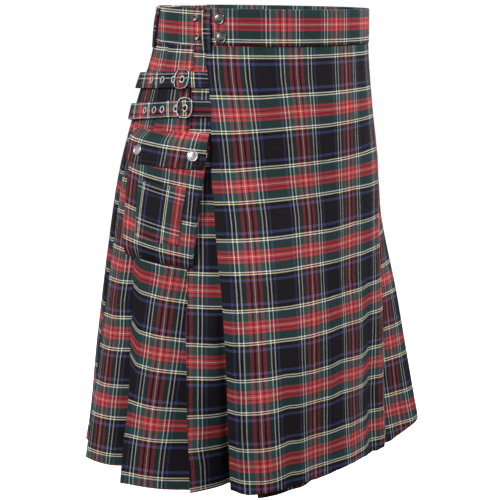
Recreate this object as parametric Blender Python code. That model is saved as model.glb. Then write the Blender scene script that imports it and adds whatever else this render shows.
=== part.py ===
"""A wrap-over utility kilt: pleated cloth, two aprons, a waistband, straps and a bellows pocket.

Metres, +Z up. The wearer faces -Y, so +X is the wearer's left. The origin is the middle of the
waistband, on the axis of the waist. A place on the cloth is given by its height, by its arc (the
distance along the body outline from the centre front, positive towards the wearer's right) and by
its out (the distance outwards from that outline).
"""

import math
from collections import namedtuple

import bmesh
import bpy
import numpy as np
from mathutils import Matrix, Vector


def table(columns, *rows):
    """Rows of numbers or names, whose columns are read by name."""
    row = namedtuple("Row", columns)
    return [row(*values) for values in rows]


# Sizes of the whole kilt
BAND_HEIGHT = 0.045
HEM = -0.592
APRON_HEM = -0.589
UNDER_HEM = -0.595
SEAM_GAP = 0.0004
PANEL_TOP = -BAND_HEIGHT / 2 - SEAM_GAP

# Body outline: half-widths and half-depths of the pleats' outer face, by height
OUTLINE = table(
    "height right left front back",
    (0.0225, 0.149, 0.156, 0.1275, 0.123),
    (-0.0225, 0.153, 0.156, 0.1285, 0.126),
    (-0.10, 0.178, 0.163, 0.134, 0.148),
    (-0.20, 0.205, 0.182, 0.140, 0.176),
    (-0.30, 0.221, 0.199, 0.153, 0.196),
    (-0.42, 0.2365, 0.227, 0.169, 0.211),
    (-0.60, 0.260, 0.263, 0.181, 0.234),
)
RING_POINTS = 720

# How far the hem is pushed off that outline, and the heights between which the push grows
PUSH = table(
    "arc push",
    (-0.30, 0.0),
    (-0.246, -0.005),
    (-0.19, -0.017),
    (-0.135, -0.025),
    (-0.045, -0.013),
    (0.0, 0.001),
    (0.037, 0.010),
    (0.079, 0.024),
    (0.120, 0.032),
    (0.146, 0.026),
    (0.162, 0.014),
    (0.20, 0.004),
    (0.26, 0.0),
)
PUSH_START = -0.18
PUSH_FULL = -0.55
PUSH_EASE = 1.3

# Largest soft folds of the hanging cloth: half-width along the arc, the height where each starts,
# and its rise at the hem, positive for a ridge and negative for a trough
DRAPE = table(
    "arc half_width start rise",
    (-0.100, 0.015, -0.28, -0.0075),
    (-0.128, 0.015, -0.28, 0.0045),
    (-0.036, 0.024, -0.33, 0.0040),
    (0.036, 0.022, -0.36, -0.0040),
    (-0.215, 0.030, -0.26, 0.0060),
    (0.250, 0.030, -0.34, 0.0040),
    (0.480, 0.050, -0.32, -0.0070),
    (0.590, 0.045, -0.32, 0.0070),
    (-0.500, 0.050, -0.34, -0.0060),
    (-0.380, 0.045, -0.32, 0.0060),
)

# The waist sits lower at the front than at the back; this fades out down to the hips
WAIST_DIP = 0.0035
DIP_ENDS = -0.20

# Cloth
CLOTH = 0.0012
PLY_GAP = 0.0008
PLY = CLOTH + PLY_GAP
PLEAT_OUT = -CLOTH / 2
APRON_OUT = 0.0016
BAND_THICK = 0.0024
BAND_UNDER_OUT = -0.0006
BAND_OVER_OUT = 0.0022

# Aprons: arcs of the edges at the waist and what the open edge gains by the hip and by the hem
APRON_OPEN_EDGE = 0.143
APRON_HIP_FLARE = 0.013
APRON_HEM_FLARE = 0.015
HIP = -0.30
APRON_FAR_EDGE = -0.145
APRON_COLUMNS = 22
UNDER_FREE_EDGE = -0.095
UNDER_COLUMNS = 18
UNDER_FOLD_BACK = 0.030

# Pleats: knife pleats, each fold facing the wearer's back on the right side
FOLDS = 12
FIRST_FOLD = 0.55
LAST_PANEL = 1.50
TUCK_AT_WAIST = 0.80
TUCK_AT_HEM = 0.43
END_TUCK = 0.034
STITCHED_TO = -0.17
OPEN_EASE = 1.15
PANEL_CURVE = 1.5
FOLD_PROUD = 0.010
FLICK_CURVE = 3
FOLD_STEP_UNDER_APRON = 0.050
FOLD_STEPS = (0.006, 0.046, 0.026, 0.030, 0.022, 0.028, 0.033, 0.025, 0.030, 0.023, 0.026, 0.012)
FOLD_STEP_FAR = 0.010
FAR_CREST = 0.004
FAR_RISE = 0.12
FAR_RISE_AT_HEM = 0.30
FAR_FALL = 0.22
RETURN_DROP = 0.35
HIDDEN_DROP = 0.60

PANEL_HEIGHTS = (-0.06, -0.10, -0.14, -0.18, -0.23, -0.28, -0.34, -0.40, -0.46, -0.52)

# Waistband
BAND_COLUMNS = 84
BAND_OVER_END = 0.150
BAND_UNDER_END = -0.100
BAND_CROSSES_FROM = -0.125
BAND_CROSSES_TO = -0.30

# Belt loops: arcs are counted from the centre front as the band runs
LOOP_WIDTH = 0.010
LOOP_TOP = 0.0205
LOOP_BOTTOM = -0.0300
LOOP_THICK = 0.0016
LOOP_RISE = 0.0026
LOOP_EASE = 0.6
LOOP_ROWS = 7
LOOPS = table(
    "name arc",
    ("belt_loop_front", 0.152),
    ("belt_loop_left", -0.252),
    ("belt_loop_back", -0.442),
    ("belt_loop_right", -0.632),
)

# Straps: distances along them are counted from the buckle, positive towards the sewn end at the
# back, and give each eyelet's centre
STRAP_WIDTH = 0.0194
STRAP_THICK = 0.0016
STRAP_STEPS = 18
STRAP_RUN = table(
    "from_buckle out",
    (-0.029, 0.0036),
    (-0.015, 0.0048),
    (0.0, 0.0055),
    (0.015, 0.0048),
    (0.045, 0.0036),
    (0.085, 0.0062),
    (0.105, 0.0080),
    (0.130, 0.0056),
    (0.160, 0.0016),
    (0.172, 0.0016),
)
TAB_THICK = 0.0012
TAB_OUT = 0.0010
TAB_FROM = -0.0325
TAB_TO = 0.004
TAB_STEPS = 5
STRAPS = table(
    "name buckle_height sewn_height buckle_arc eyelets",
    ("upper", -0.0665, -0.0785, 0.1840, (0.0, 0.0125, 0.0330, 0.0560)),
    ("lower", -0.1020, -0.1200, 0.1820, (0.0, 0.0125, 0.0340, 0.0480, 0.0660)),
)

# Buckles: a rounded wire frame with a bar behind the strap, and a prong over it. Lifts and the
# prong are measured outwards from the middle of the strap.
BUCKLE_WIDTH = 0.0225
BUCKLE_HEIGHT = 0.0272
BUCKLE_WIRE = 0.00115
FRAME_LIFT = 0.0025
BUCKLE_ROUND = 2.8
BUCKLE_STEPS = 28
BAR_WIRE = 0.0009
BAR_LIFT = -0.0026
BAR_SHIFT = -0.0010
BAR_SPLAY = 0.0006
WIRE_SIDES = 8
PRONG_WIRE = 0.0008
PRONG = table("from_buckle lift", (0.0, 0.0021), (0.0086, 0.0048), (0.0125, 0.0050))

# Eyelets
EYELET_OUTER = 0.0039
EYELET_INNER = 0.0021
EYELET_HEIGHT = 0.0010
EYELET_SIDES = 20

# Bellows pocket on the wearer's right hip
POCKET_TOP = -0.153
POCKET_BOTTOM = -0.299
POCKET_TILT = 0.085
POCKET_MIDDLE = 0.235
POCKET_FRONT_TOP = 0.158
POCKET_FRONT_BOTTOM = 0.188
POCKET_REAR_TOP = 0.266
POCKET_REAR_BOTTOM = 0.286
POCKET_OUT = 0.0100
POCKET_SEAM_OUT = 0.0016
POCKET_BEND = 0.020
POCKET_BEND_EASE = 0.8
POCKET_BEND_ROWS = (0.25, 0.5)
POCKET_COLUMNS = 8
POCKET_ROWS = 9
PATCH_INSET_FRONT = 0.018
PATCH_INSET_REAR = 0.024
PATCH_TOP = -0.197
PATCH_BOTTOM = -0.270
PATCH_COLUMNS = 6
PATCH_ROWS = 6

# Pocket flap
FLAP_OUT = 0.0125
FLAP_TOP = -0.133
FLAP_BOTTOM = -0.180
FLAP_FRONT_TOP = 0.1540
FLAP_FRONT_BOTTOM = 0.1620
FLAP_REAR_TOP = 0.270
FLAP_REAR_BOTTOM = 0.277
FLAP_COLUMNS = 8
FLAP_SHAPE = table(
    "height out",
    (FLAP_TOP, 0.0014),
    (-0.139, 0.0074),
    (-0.147, 0.0122),
    (-0.163, FLAP_OUT),
    (FLAP_BOTTOM, 0.0126),
)

# Snap caps and spare studs
BAND_SNAP = 0.0150
POCKET_SNAP = 0.0138
SPARE_STUD = 0.0085
BAND_OVER_FACE = BAND_OVER_OUT + BAND_THICK / 2
BAND_UNDER_FACE = BAND_UNDER_OUT + BAND_THICK / 2
FLAP_FACE = FLAP_OUT + CLOTH / 2
SNAPS = table(
    "name height arc face diameter",
    ("snap_band_upper", 0.0105, 0.1335, BAND_OVER_FACE, BAND_SNAP),
    ("snap_band_lower", -0.0130, 0.1315, BAND_OVER_FACE, BAND_SNAP),
    ("stud_spare_upper", 0.0105, 0.1660, BAND_UNDER_FACE, SPARE_STUD),
    ("stud_spare_lower", -0.0130, 0.1640, BAND_UNDER_FACE, SPARE_STUD),
    ("snap_pocket_rear", -0.158, 0.2480, FLAP_FACE, POCKET_SNAP),
    ("snap_pocket_front", -0.161, 0.1740, FLAP_FACE, POCKET_SNAP),
)
SNAP_SIDES = 24
SNAP_PROFILE = table(
    "radius_share rise_share",
    (0.94, 0.0),
    (1.0, 0.07),
    (0.97, 0.15),
    (0.80, 0.27),
    (0.50, 0.37),
    (0.22, 0.41),
)

# Step between the points that give a surface's slope at a place
SLOPE_STEP = 0.002

# Colours: linear red, green and blue, then roughness and metallic
TARTAN = (0.055, 0.045, 0.048, 0.85, 0.0)
TARTAN_DARK = (0.030, 0.030, 0.042, 0.85, 0.0)
TARTAN_RED = (0.180, 0.045, 0.050, 0.85, 0.0)
NICKEL = (0.62, 0.60, 0.58, 0.25, 1.0)
GUNMETAL = (0.20, 0.19, 0.19, 0.30, 1.0)


def interpolate(rows, column, at):
    """Monotone cubic through one column of a table, along its first column."""
    rows = sorted(rows)
    x = [row[0] for row in rows]
    y = [getattr(row, column) for row in rows]
    at = min(max(at, x[0]), x[-1])
    i = min(max(int(np.searchsorted(x, at)) - 1, 0), len(x) - 2)
    width = [b - a for a, b in zip(x, x[1:])]
    slope = [(b - a) / w for a, b, w in zip(y, y[1:], width)]

    def tangent(j):
        if j == 0:
            return slope[0]
        if j == len(x) - 1:
            return slope[-1]
        before, after = slope[j - 1], slope[j]
        if before * after <= 0:
            return 0.0
        w1 = 2 * width[j] + width[j - 1]
        w2 = width[j] + 2 * width[j - 1]
        return (w1 + w2) / (w1 / before + w2 / after)

    t = (at - x[i]) / width[i]
    h = width[i]
    return (
        (2 * t**3 - 3 * t**2 + 1) * y[i]
        + (t**3 - 2 * t**2 + t) * h * tangent(i)
        + (3 * t**2 - 2 * t**3) * y[i + 1]
        + (t**3 - t**2) * h * tangent(i + 1)
    )


RINGS = {}


def ring(height):
    """The body outline at a height: points, outward normals and arcs, round from the back."""
    if height not in RINGS:
        names = ("right", "left", "front", "back")
        right, left, front, back = (interpolate(OUTLINE, name, height) for name in names)
        angle = np.linspace(-np.pi, np.pi, RING_POINTS + 1)
        half_width = np.where(np.sin(angle) > 0, right, left)
        half_depth = np.where(np.cos(angle) > 0, front, back)
        points = np.stack([-half_width * np.sin(angle), -half_depth * np.cos(angle)], axis=1)
        normals = points / np.stack([half_width, half_depth], axis=1) ** 2
        normals /= np.linalg.norm(normals, axis=1)[:, None]
        steps = np.linalg.norm(np.diff(points, axis=0), axis=1)
        arcs = np.concatenate([[0.0], np.cumsum(steps)])
        arcs -= arcs[RING_POINTS // 2]
        RINGS[height] = points, normals, arcs
    return RINGS[height]


def girth(height):
    arcs = ring(height)[2]
    return arcs[-1] - arcs[0]


def push(height, arc):
    """How far the hanging cloth has moved off the body outline, with its largest soft folds."""
    around = girth(height)
    arc = (arc + around / 2) % around - around / 2
    grown = (PUSH_START - height) / (PUSH_START - PUSH_FULL)
    grown = math.sin(math.pi / 2 * min(max(grown, 0.0), 1.0)) ** PUSH_EASE
    total = grown * interpolate(PUSH, "push", arc)
    for fold in DRAPE:
        share = min(max((fold.start - height) / (fold.start - HEM), 0.0), 1.0)
        away = (arc - fold.arc) / fold.half_width
        total += fold.rise * math.sin(math.pi / 2 * share) * math.exp(-away * away)
    return total


def dip(height, arc):
    """How far a place near the waist is raised or lowered by the tilt of the waist."""
    left = min(max((height - DIP_ENDS) / (BAND_HEIGHT / 2 - DIP_ENDS), 0.0), 1.0)
    return -WAIST_DIP * math.cos(2 * math.pi * arc / girth(height)) * left**2 * (3 - 2 * left)


def place(height, arc, out):
    """World point of a place on the cloth."""
    points, normals, arcs = ring(height)
    around = arcs[-1] - arcs[0]
    wrapped = (arc - arcs[0]) % around + arcs[0]
    point = [np.interp(wrapped, arcs, points[:, i]) for i in (0, 1)]
    normal = [np.interp(wrapped, arcs, normals[:, i]) for i in (0, 1)]
    out = out + push(height, arc)
    raised = height + dip(height, arc)
    return Vector((point[0] + normal[0] * out, point[1] + normal[1] * out, raised))


def side(height, arc, out):
    """Matrix of a place: x runs along the arc, y down the cloth, z outwards."""
    along = place(height, arc + SLOPE_STEP, out) - place(height, arc - SLOPE_STEP, out)
    up = place(height + SLOPE_STEP, arc, out) - place(height - SLOPE_STEP, arc, out)
    along.normalize()
    outwards = up.cross(along).normalized()
    down = outwards.cross(along)
    matrix = Matrix((along, down, outwards)).transposed().to_4x4()
    matrix.translation = place(height, arc, out)
    return matrix


def node(name, built, look):
    """Object with its own material from a bmesh, faces turned outwards."""
    bmesh.ops.recalc_face_normals(built, faces=built.faces)
    mesh = bpy.data.meshes.new(name)
    built.to_mesh(mesh)
    built.free()
    obj = bpy.data.objects.new(name, mesh)
    bpy.context.scene.collection.objects.link(obj)
    material = bpy.data.materials.new(name)
    material.use_nodes = True
    shader = material.node_tree.nodes["Principled BSDF"]
    shader.inputs["Base Color"].default_value = (*look[:3], 1.0)
    shader.inputs["Roughness"].default_value = look[3]
    shader.inputs["Metallic"].default_value = look[4]
    mesh.materials.append(material)
    return obj


def loft(loops):
    """bmesh through closed loops of points, with the two end loops capped as folded strips."""
    built = bmesh.new()
    rows = [[built.verts.new(point) for point in loop] for loop in loops]
    count = len(rows[0])
    for low, high in zip(rows, rows[1:]):
        for i in range(count):
            j = (i + 1) % count
            built.faces.new((low[i], low[j], high[j], high[i]))
    for row in (rows[0], rows[-1]):
        for i in range(count // 2 - 1):
            built.faces.new((row[i], row[i + 1], row[count - 2 - i], row[count - 1 - i]))
    return built


def thickened(path, thick):
    """Closed loop round a path of (arc, out), half of the thickness to each side, mitred."""
    points = np.array(path)
    steps = np.diff(points, axis=0)
    steps /= np.linalg.norm(steps, axis=1)[:, None]
    normals = np.stack([-steps[:, 1], steps[:, 0]], axis=1)
    before = np.vstack([normals[:1], normals])
    after = np.vstack([normals, normals[-1:]])
    mitre = (before + after) / (1 + (before * after).sum(axis=1))[:, None]
    return [*(points + mitre * thick / 2), *(points - mitre * thick / 2)[::-1]]


def wall(name, heights, path_at, thick, look, tilt=0.0, about=0.0):
    """Cloth wall: at each height, path_at gives its middle line as (arc, out) points."""
    loops = []
    for height in heights:
        loop = thickened(path_at(height), thick)
        loops.append([place(height + tilt * (arc - about), arc, out) for arc, out in loop])
    return node(name, loft(loops), look)


def spread(start, end, count):
    return [start + (end - start) * i / (count - 1) for i in range(count)]


def apron_open_edge(height):
    """Arc of the outer apron's open edge: the apron widens from the waist to the hem."""
    if height > HIP:
        return APRON_OPEN_EDGE + APRON_HIP_FLARE * min(height / HIP, 1.0)
    below = (HIP - height) / (HIP - HEM)
    return APRON_OPEN_EDGE + APRON_HIP_FLARE + (APRON_HEM_FLARE - APRON_HIP_FLARE) * below


def under_fold(height):
    """Arc of the fold where the under apron turns into the first pleat."""
    return apron_open_edge(height) - UNDER_FOLD_BACK


def pleat_pitch(height):
    covered = girth(height) - apron_open_edge(height) + APRON_FAR_EDGE
    return covered / (FIRST_FOLD + FOLDS - 1 + LAST_PANEL)


def opened(height):
    """0 where the pleats are stitched flat, 1 at the hem."""
    return min(max((STITCHED_TO - height) / (STITCHED_TO - HEM), 0.0), 1.0) ** OPEN_EASE


def fold_stack(arc, tuck, panel_depth, step, opening):
    """Return layer and hidden layer under one fold, from the fold to where the next panel starts."""
    top, mid_depth, inner_depth = (panel_depth(arc - tuck * share) for share in (0.0, 0.5, 1.0))
    drop = step * opening
    return [
        (arc, top - PLY),
        (arc - tuck / 2, mid_depth - PLY - RETURN_DROP / 2 * drop),
        (arc - tuck, inner_depth - PLY - RETURN_DROP * drop),
        (arc - tuck, inner_depth - 2 * PLY - HIDDEN_DROP * drop),
        (arc - tuck / 2, mid_depth - 2 * PLY - (1 + HIDDEN_DROP) / 2 * drop),
        (arc, top - 2 * PLY - drop),
    ]


def pleat_path(height):
    """Middle line of the pleated cloth, from under the open edge round to the far edge."""
    opening = opened(height)
    pitch = pleat_pitch(height)
    tuck = pitch * (TUCK_AT_WAIST + (TUCK_AT_HEM - TUCK_AT_WAIST) * opening)
    flick = FOLD_PROUD * opening**2
    start = under_fold(height)
    path = fold_stack(start, END_TUCK, lambda arc: PLEAT_OUT, FOLD_STEP_UNDER_APRON, opening)
    for k in range(FOLDS):
        fold = apron_open_edge(height) + (FIRST_FOLD + k) * pitch
        length = fold - start
        low = path[-1][1]
        flat_from = (length - tuck) / 2
        reach = flat_from + (length - flat_from) * opening

        def depth(arc):
            left = max(1 - (arc - start) / reach, 0.0)
            level = PLEAT_OUT + (low - PLEAT_OUT) * left**PANEL_CURVE
            return level + flick * ((arc - start) / length) ** FLICK_CURVE

        for arc in (start + flat_from, fold - tuck, fold - tuck / 2):
            path.append((arc, depth(arc)))
        path.append((fold, depth(fold)))
        path += fold_stack(fold, tuck, depth, FOLD_STEPS[k], opening)
        start = fold
    return path + far_panel(height, start, path[-1][1], opening)


def far_panel(height, start, low, opening):
    """Last panel: out from under the last fold, then under the outer apron's far edge and back."""
    edge = girth(height) + APRON_FAR_EDGE
    width = edge - start
    under = PLEAT_OUT - 2 * PLY - FOLD_STEP_FAR * opening
    crest = PLEAT_OUT + FAR_CREST * opening
    rise = width * (FAR_RISE + (FAR_RISE_AT_HEM - FAR_RISE) * opening)
    return [
        (start + rise / 2, (low + crest) / 2),
        (start + rise, crest),
        (edge - width * FAR_FALL, PLEAT_OUT - (FOLD_STEP_FAR / 2) * opening),
        (edge, under),
        (edge + END_TUCK / 2, under),
        (edge + END_TUCK, under),
        (edge + END_TUCK, under + PLY),
        (edge + END_TUCK / 2, (under + PLY + PLEAT_OUT) / 2),
        (edge, PLEAT_OUT),
    ]


def band_out(arc):
    """Middle of the band: outer layer across the front, then in to the layer under it."""
    crossed = (arc - BAND_CROSSES_FROM) / (BAND_CROSSES_TO - BAND_CROSSES_FROM)
    crossed = min(max(crossed, 0.0), 1.0)
    crossed = crossed * crossed * (3 - 2 * crossed)
    return BAND_OVER_OUT + (BAND_UNDER_OUT - BAND_OVER_OUT) * crossed


def band_path(height):
    """The band runs from its outer end across the front, round the back and under itself."""
    last = BAND_UNDER_END - girth(height)
    return [(arc, band_out(arc)) for arc in spread(BAND_OVER_END, last, BAND_COLUMNS)]


def make_cloth():
    heights = (PANEL_TOP, *PANEL_HEIGHTS, HEM)
    wall("pleats", heights, pleat_path, CLOTH, TARTAN)

    def outer_path(height):
        edge = apron_open_edge(height)
        return [(arc, APRON_OUT) for arc in spread(APRON_FAR_EDGE, edge, APRON_COLUMNS)]

    def under_path(height):
        edge = under_fold(height)
        return [(arc, PLEAT_OUT) for arc in spread(UNDER_FREE_EDGE, edge, UNDER_COLUMNS)]

    wall("outer_apron", (*heights[:-1], APRON_HEM), outer_path, CLOTH, TARTAN)
    wall("under_apron", (*heights[:-1], UNDER_HEM), under_path, CLOTH, TARTAN_DARK)
    band_heights = spread(BAND_HEIGHT / 2, -BAND_HEIGHT / 2, 2)
    wall("waistband", band_heights, band_path, BAND_THICK, TARTAN_DARK)


def make_loops():
    for name, arc in LOOPS:
        face = band_out(arc) + BAND_THICK / 2

        def path_at(height):
            share = (height - LOOP_BOTTOM) / (LOOP_TOP - LOOP_BOTTOM)
            rise = LOOP_RISE * max(math.sin(math.pi * share), 0.0) ** LOOP_EASE
            out = face + SEAM_GAP + LOOP_THICK / 2 + rise
            return [(arc + LOOP_WIDTH * x, out) for x in (-0.5, 0.0, 0.5)]

        wall(name, spread(LOOP_TOP, LOOP_BOTTOM, LOOP_ROWS), path_at, LOOP_THICK, TARTAN_DARK)


def sloped_strip(name, arcs_outs, middle_at, width, thick, look):
    """Flat strip whose middle height changes along the arc, as a loft across its ends."""
    loops = []
    for arc, out in arcs_outs:
        middle = middle_at(arc)
        corners = ((width / 2, thick / 2), (-width / 2, thick / 2))
        outer = [place(middle + up, arc, out + half) for up, half in corners]
        inner = [place(middle + up, arc, out - half) for up, half in corners]
        loops.append([*outer, *inner[::-1]])
    return node(name, loft(loops), look)


def skin(loops, closed):
    """bmesh through loops of points, the last joined to the first or both closed by a flat face."""
    built = bmesh.new()
    rows = [[built.verts.new(point) for point in loop] for loop in loops]
    pairs = list(zip(rows, rows[1:]))
    if closed:
        pairs.append((rows[-1], rows[0]))
    for low, high in pairs:
        for k in range(len(low)):
            j = (k + 1) % len(low)
            built.faces.new((low[k], low[j], high[j], high[k]))
    if not closed:
        built.faces.new(rows[0])
        built.faces.new(rows[-1])
    return built


def tube(points, radius, normal, closed=False):
    """bmesh of a round wire along points in the plane that has this normal."""
    points = [Vector(point) for point in points]
    normal = Vector(normal)
    count = len(points)
    turns = [2 * math.pi * k / WIRE_SIDES for k in range(WIRE_SIDES)]
    loops = []
    for i, point in enumerate(points):
        before = points[i - 1] if closed or i else point
        after = points[(i + 1) % count] if closed or i < count - 1 else point
        across = normal.cross(after - before).normalized()
        loops.append([point + (normal * math.cos(a) + across * math.sin(a)) * radius for a in turns])
    return skin(loops, closed)


def turned(profile, sides, closed=False):
    """bmesh turned about z from (radius, z) points, whose last may be joined to the first."""
    turns = [2 * math.pi * k / sides for k in range(sides)]
    loops = [[(r * math.cos(a), r * math.sin(a), z) for a in turns] for r, z in profile]
    return skin(loops, closed)


def make_buckle(name, seat):
    """Wire frame and bar joined in one body, in the plane of a seat matrix."""
    frame_points = []
    for k in range(BUCKLE_STEPS):
        angle = 2 * math.pi * k / BUCKLE_STEPS
        x, y = math.cos(angle), math.sin(angle)
        half = 1 / (abs(x) ** BUCKLE_ROUND + abs(y) ** BUCKLE_ROUND) ** (1 / BUCKLE_ROUND)
        reach_x = BUCKLE_WIDTH / 2 - BUCKLE_WIRE
        reach_y = BUCKLE_HEIGHT / 2 - BUCKLE_WIRE
        frame_points.append((half * x * reach_x, half * y * reach_y, FRAME_LIFT))
    top = BUCKLE_HEIGHT / 2 - BUCKLE_WIRE
    low = top - BAR_SPLAY
    bar_points = (
        (BAR_SHIFT, top, FRAME_LIFT),
        (BAR_SHIFT, low, BAR_LIFT),
        (BAR_SHIFT, -low, BAR_LIFT),
        (BAR_SHIFT, -top, FRAME_LIFT),
    )
    frame = node(name, tube(frame_points, BUCKLE_WIRE, (0.0, 0.0, 1.0), closed=True), NICKEL)
    bar = node(f"{name}_bar", tube(bar_points, BAR_WIRE, (1.0, 0.0, 0.0)), NICKEL)
    frame.matrix_world = seat
    bar.matrix_world = seat
    bar.hide_render = True
    bar.hide_set(True)
    join = frame.modifiers.new("bar", "BOOLEAN")
    join.operation = "UNION"
    join.solver = "EXACT"
    join.object = bar


def make_straps():
    far = STRAP_RUN[-1].from_buckle
    for strap in STRAPS:

        def middle_at(arc):
            share = min(max((arc - strap.buckle_arc) / far, 0.0), 1.0)
            return strap.buckle_height + (strap.sewn_height - strap.buckle_height) * share

        reach = spread(STRAP_RUN[0].from_buckle, far, STRAP_STEPS)
        run = [(strap.buckle_arc + x, interpolate(STRAP_RUN, "out", x)) for x in reach]
        name = f"strap_{strap.name}"
        sloped_strip(name, run, middle_at, STRAP_WIDTH, STRAP_THICK, TARTAN)
        tab = [(strap.buckle_arc + x, TAB_OUT) for x in spread(TAB_FROM, TAB_TO, TAB_STEPS)]
        sloped_strip(f"tab_{strap.name}", tab, middle_at, STRAP_WIDTH, TAB_THICK, TARTAN_RED)
        middle_out = interpolate(STRAP_RUN, "out", 0.0)
        seat = side(strap.buckle_height, strap.buckle_arc, middle_out)
        make_buckle(f"buckle_{strap.name}", seat)
        prong_points = [(x, 0.0, lift) for x, lift in PRONG]
        wire = tube(prong_points, PRONG_WIRE, (0.0, 1.0, 0.0))
        prong = node(f"prong_{strap.name}", wire, NICKEL)
        prong.matrix_world = seat
        for k, x in enumerate(strap.eyelets):
            arc = strap.buckle_arc + x
            make_eyelet(f"eyelet_{strap.name}_{k + 1}", middle_at(arc), arc, x)


def make_eyelet(name, height, arc, from_buckle):
    face = interpolate(STRAP_RUN, "out", from_buckle) + STRAP_THICK / 2
    profile = (
        (EYELET_INNER, SEAM_GAP),
        (EYELET_OUTER, SEAM_GAP),
        ((EYELET_INNER + EYELET_OUTER) / 2, SEAM_GAP + EYELET_HEIGHT),
    )
    eyelet = node(name, turned(profile, EYELET_SIDES, closed=True), NICKEL)
    eyelet.matrix_world = side(height, arc, face)


def pocket_edges(height):
    share = (POCKET_TOP - height) / (POCKET_TOP - POCKET_BOTTOM)
    front = POCKET_FRONT_TOP + (POCKET_FRONT_BOTTOM - POCKET_FRONT_TOP) * share
    rear = POCKET_REAR_TOP + (POCKET_REAR_BOTTOM - POCKET_REAR_TOP) * share
    return front, rear


def pocket_front_out(height):
    """The pocket's front stands off the cloth and bends in to the bottom seam."""
    near = min(max((height - POCKET_BOTTOM) / POCKET_BEND, 0.0), 1.0)
    lowest = POCKET_SEAM_OUT + CLOTH * 3 / 4
    return lowest + (POCKET_OUT - lowest) * math.sin(math.pi / 2 * near) ** POCKET_BEND_EASE


def make_pocket():
    def body_path(height):
        front, rear = pocket_edges(height)
        out = pocket_front_out(height)
        face = [(arc, out) for arc in spread(front, rear, POCKET_COLUMNS)]
        return [(front, POCKET_SEAM_OUT), *face, (rear, POCKET_SEAM_OUT)]

    heights = spread(POCKET_TOP, POCKET_BOTTOM, POCKET_ROWS)
    heights += [POCKET_BOTTOM + POCKET_BEND * share for share in POCKET_BEND_ROWS]
    heights = sorted(heights, reverse=True)
    tilted = {"tilt": POCKET_TILT, "about": POCKET_MIDDLE}
    wall("pocket_body", heights, body_path, CLOTH, TARTAN, **tilted)

    def patch_path(height):
        front, rear = pocket_edges(height)
        out = POCKET_OUT + CLOTH + SEAM_GAP
        edges = (front + PATCH_INSET_FRONT, rear - PATCH_INSET_REAR)
        return [(arc, out) for arc in spread(*edges, PATCH_COLUMNS)]

    heights = spread(PATCH_TOP, PATCH_BOTTOM, PATCH_ROWS)
    wall("pocket_patch", heights, patch_path, CLOTH, TARTAN_DARK, **tilted)

    def flap_path(height):
        out = interpolate(FLAP_SHAPE, "out", height)
        share = (FLAP_TOP - height) / (FLAP_TOP - FLAP_BOTTOM)
        front = FLAP_FRONT_TOP + (FLAP_FRONT_BOTTOM - FLAP_FRONT_TOP) * share
        rear = FLAP_REAR_TOP + (FLAP_REAR_BOTTOM - FLAP_REAR_TOP) * share
        return [(arc, out) for arc in spread(front, rear, FLAP_COLUMNS)]

    wall("pocket_flap", [row.height for row in FLAP_SHAPE], flap_path, CLOTH, TARTAN_RED)


def make_snaps():
    for snap in SNAPS:
        radius = snap.diameter / 2
        profile = [(share * radius, SEAM_GAP + rise * radius) for share, rise in SNAP_PROFILE]
        look = NICKEL if "pocket" in snap.name else GUNMETAL
        cap = node(snap.name, turned(profile, SNAP_SIDES), look)
        cap.matrix_world = side(snap.height, snap.arc, snap.face)


def main():
    for obj in list(bpy.data.objects):
        bpy.data.objects.remove(obj, do_unlink=True)
    make_cloth()
    make_loops()
    make_straps()
    make_pocket()
    make_snaps()


main()
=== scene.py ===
"""The looks of a wrap-over utility kilt: woven tartan, nickel hardware, stitches and a pale studio.

Metres, +Z up, in the CAD model's frame. A place on the cloth is given as the CAD model gives it: by
its height, by its arc (the distance along the body outline from the centre front, positive towards
the wearer's right) and by its out (the distance outwards from that outline). The tables of the
kilt's form are the CAD model's own; the creases, the tartan, the stitches and the finishes are
added here.
"""

import math
from collections import namedtuple

import bmesh
import bpy
import numpy as np
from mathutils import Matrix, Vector


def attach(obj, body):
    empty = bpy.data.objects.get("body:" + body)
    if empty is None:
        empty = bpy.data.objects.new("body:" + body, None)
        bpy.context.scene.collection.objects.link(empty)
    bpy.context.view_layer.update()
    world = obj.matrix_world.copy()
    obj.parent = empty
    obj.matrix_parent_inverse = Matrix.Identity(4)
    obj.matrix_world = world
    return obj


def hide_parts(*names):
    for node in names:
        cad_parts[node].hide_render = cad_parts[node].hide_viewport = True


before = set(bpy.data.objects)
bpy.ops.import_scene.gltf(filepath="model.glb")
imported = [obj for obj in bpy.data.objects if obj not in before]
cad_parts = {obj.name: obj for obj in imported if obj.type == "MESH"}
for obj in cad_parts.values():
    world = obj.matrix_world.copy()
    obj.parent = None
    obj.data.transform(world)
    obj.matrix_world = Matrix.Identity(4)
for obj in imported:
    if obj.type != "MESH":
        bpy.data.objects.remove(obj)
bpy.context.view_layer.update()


def table(columns, *rows):
    """Rows of numbers or names, whose columns are read by name."""
    row = namedtuple("Row", columns)
    return [row(*values) for values in rows]


# --- The kilt's form, as in the CAD model ---
BAND_HEIGHT = 0.045
HEM = -0.592
APRON_HEM = -0.589
UNDER_HEM = -0.595
SEAM_GAP = 0.0004
PANEL_TOP = -BAND_HEIGHT / 2 - SEAM_GAP

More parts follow.
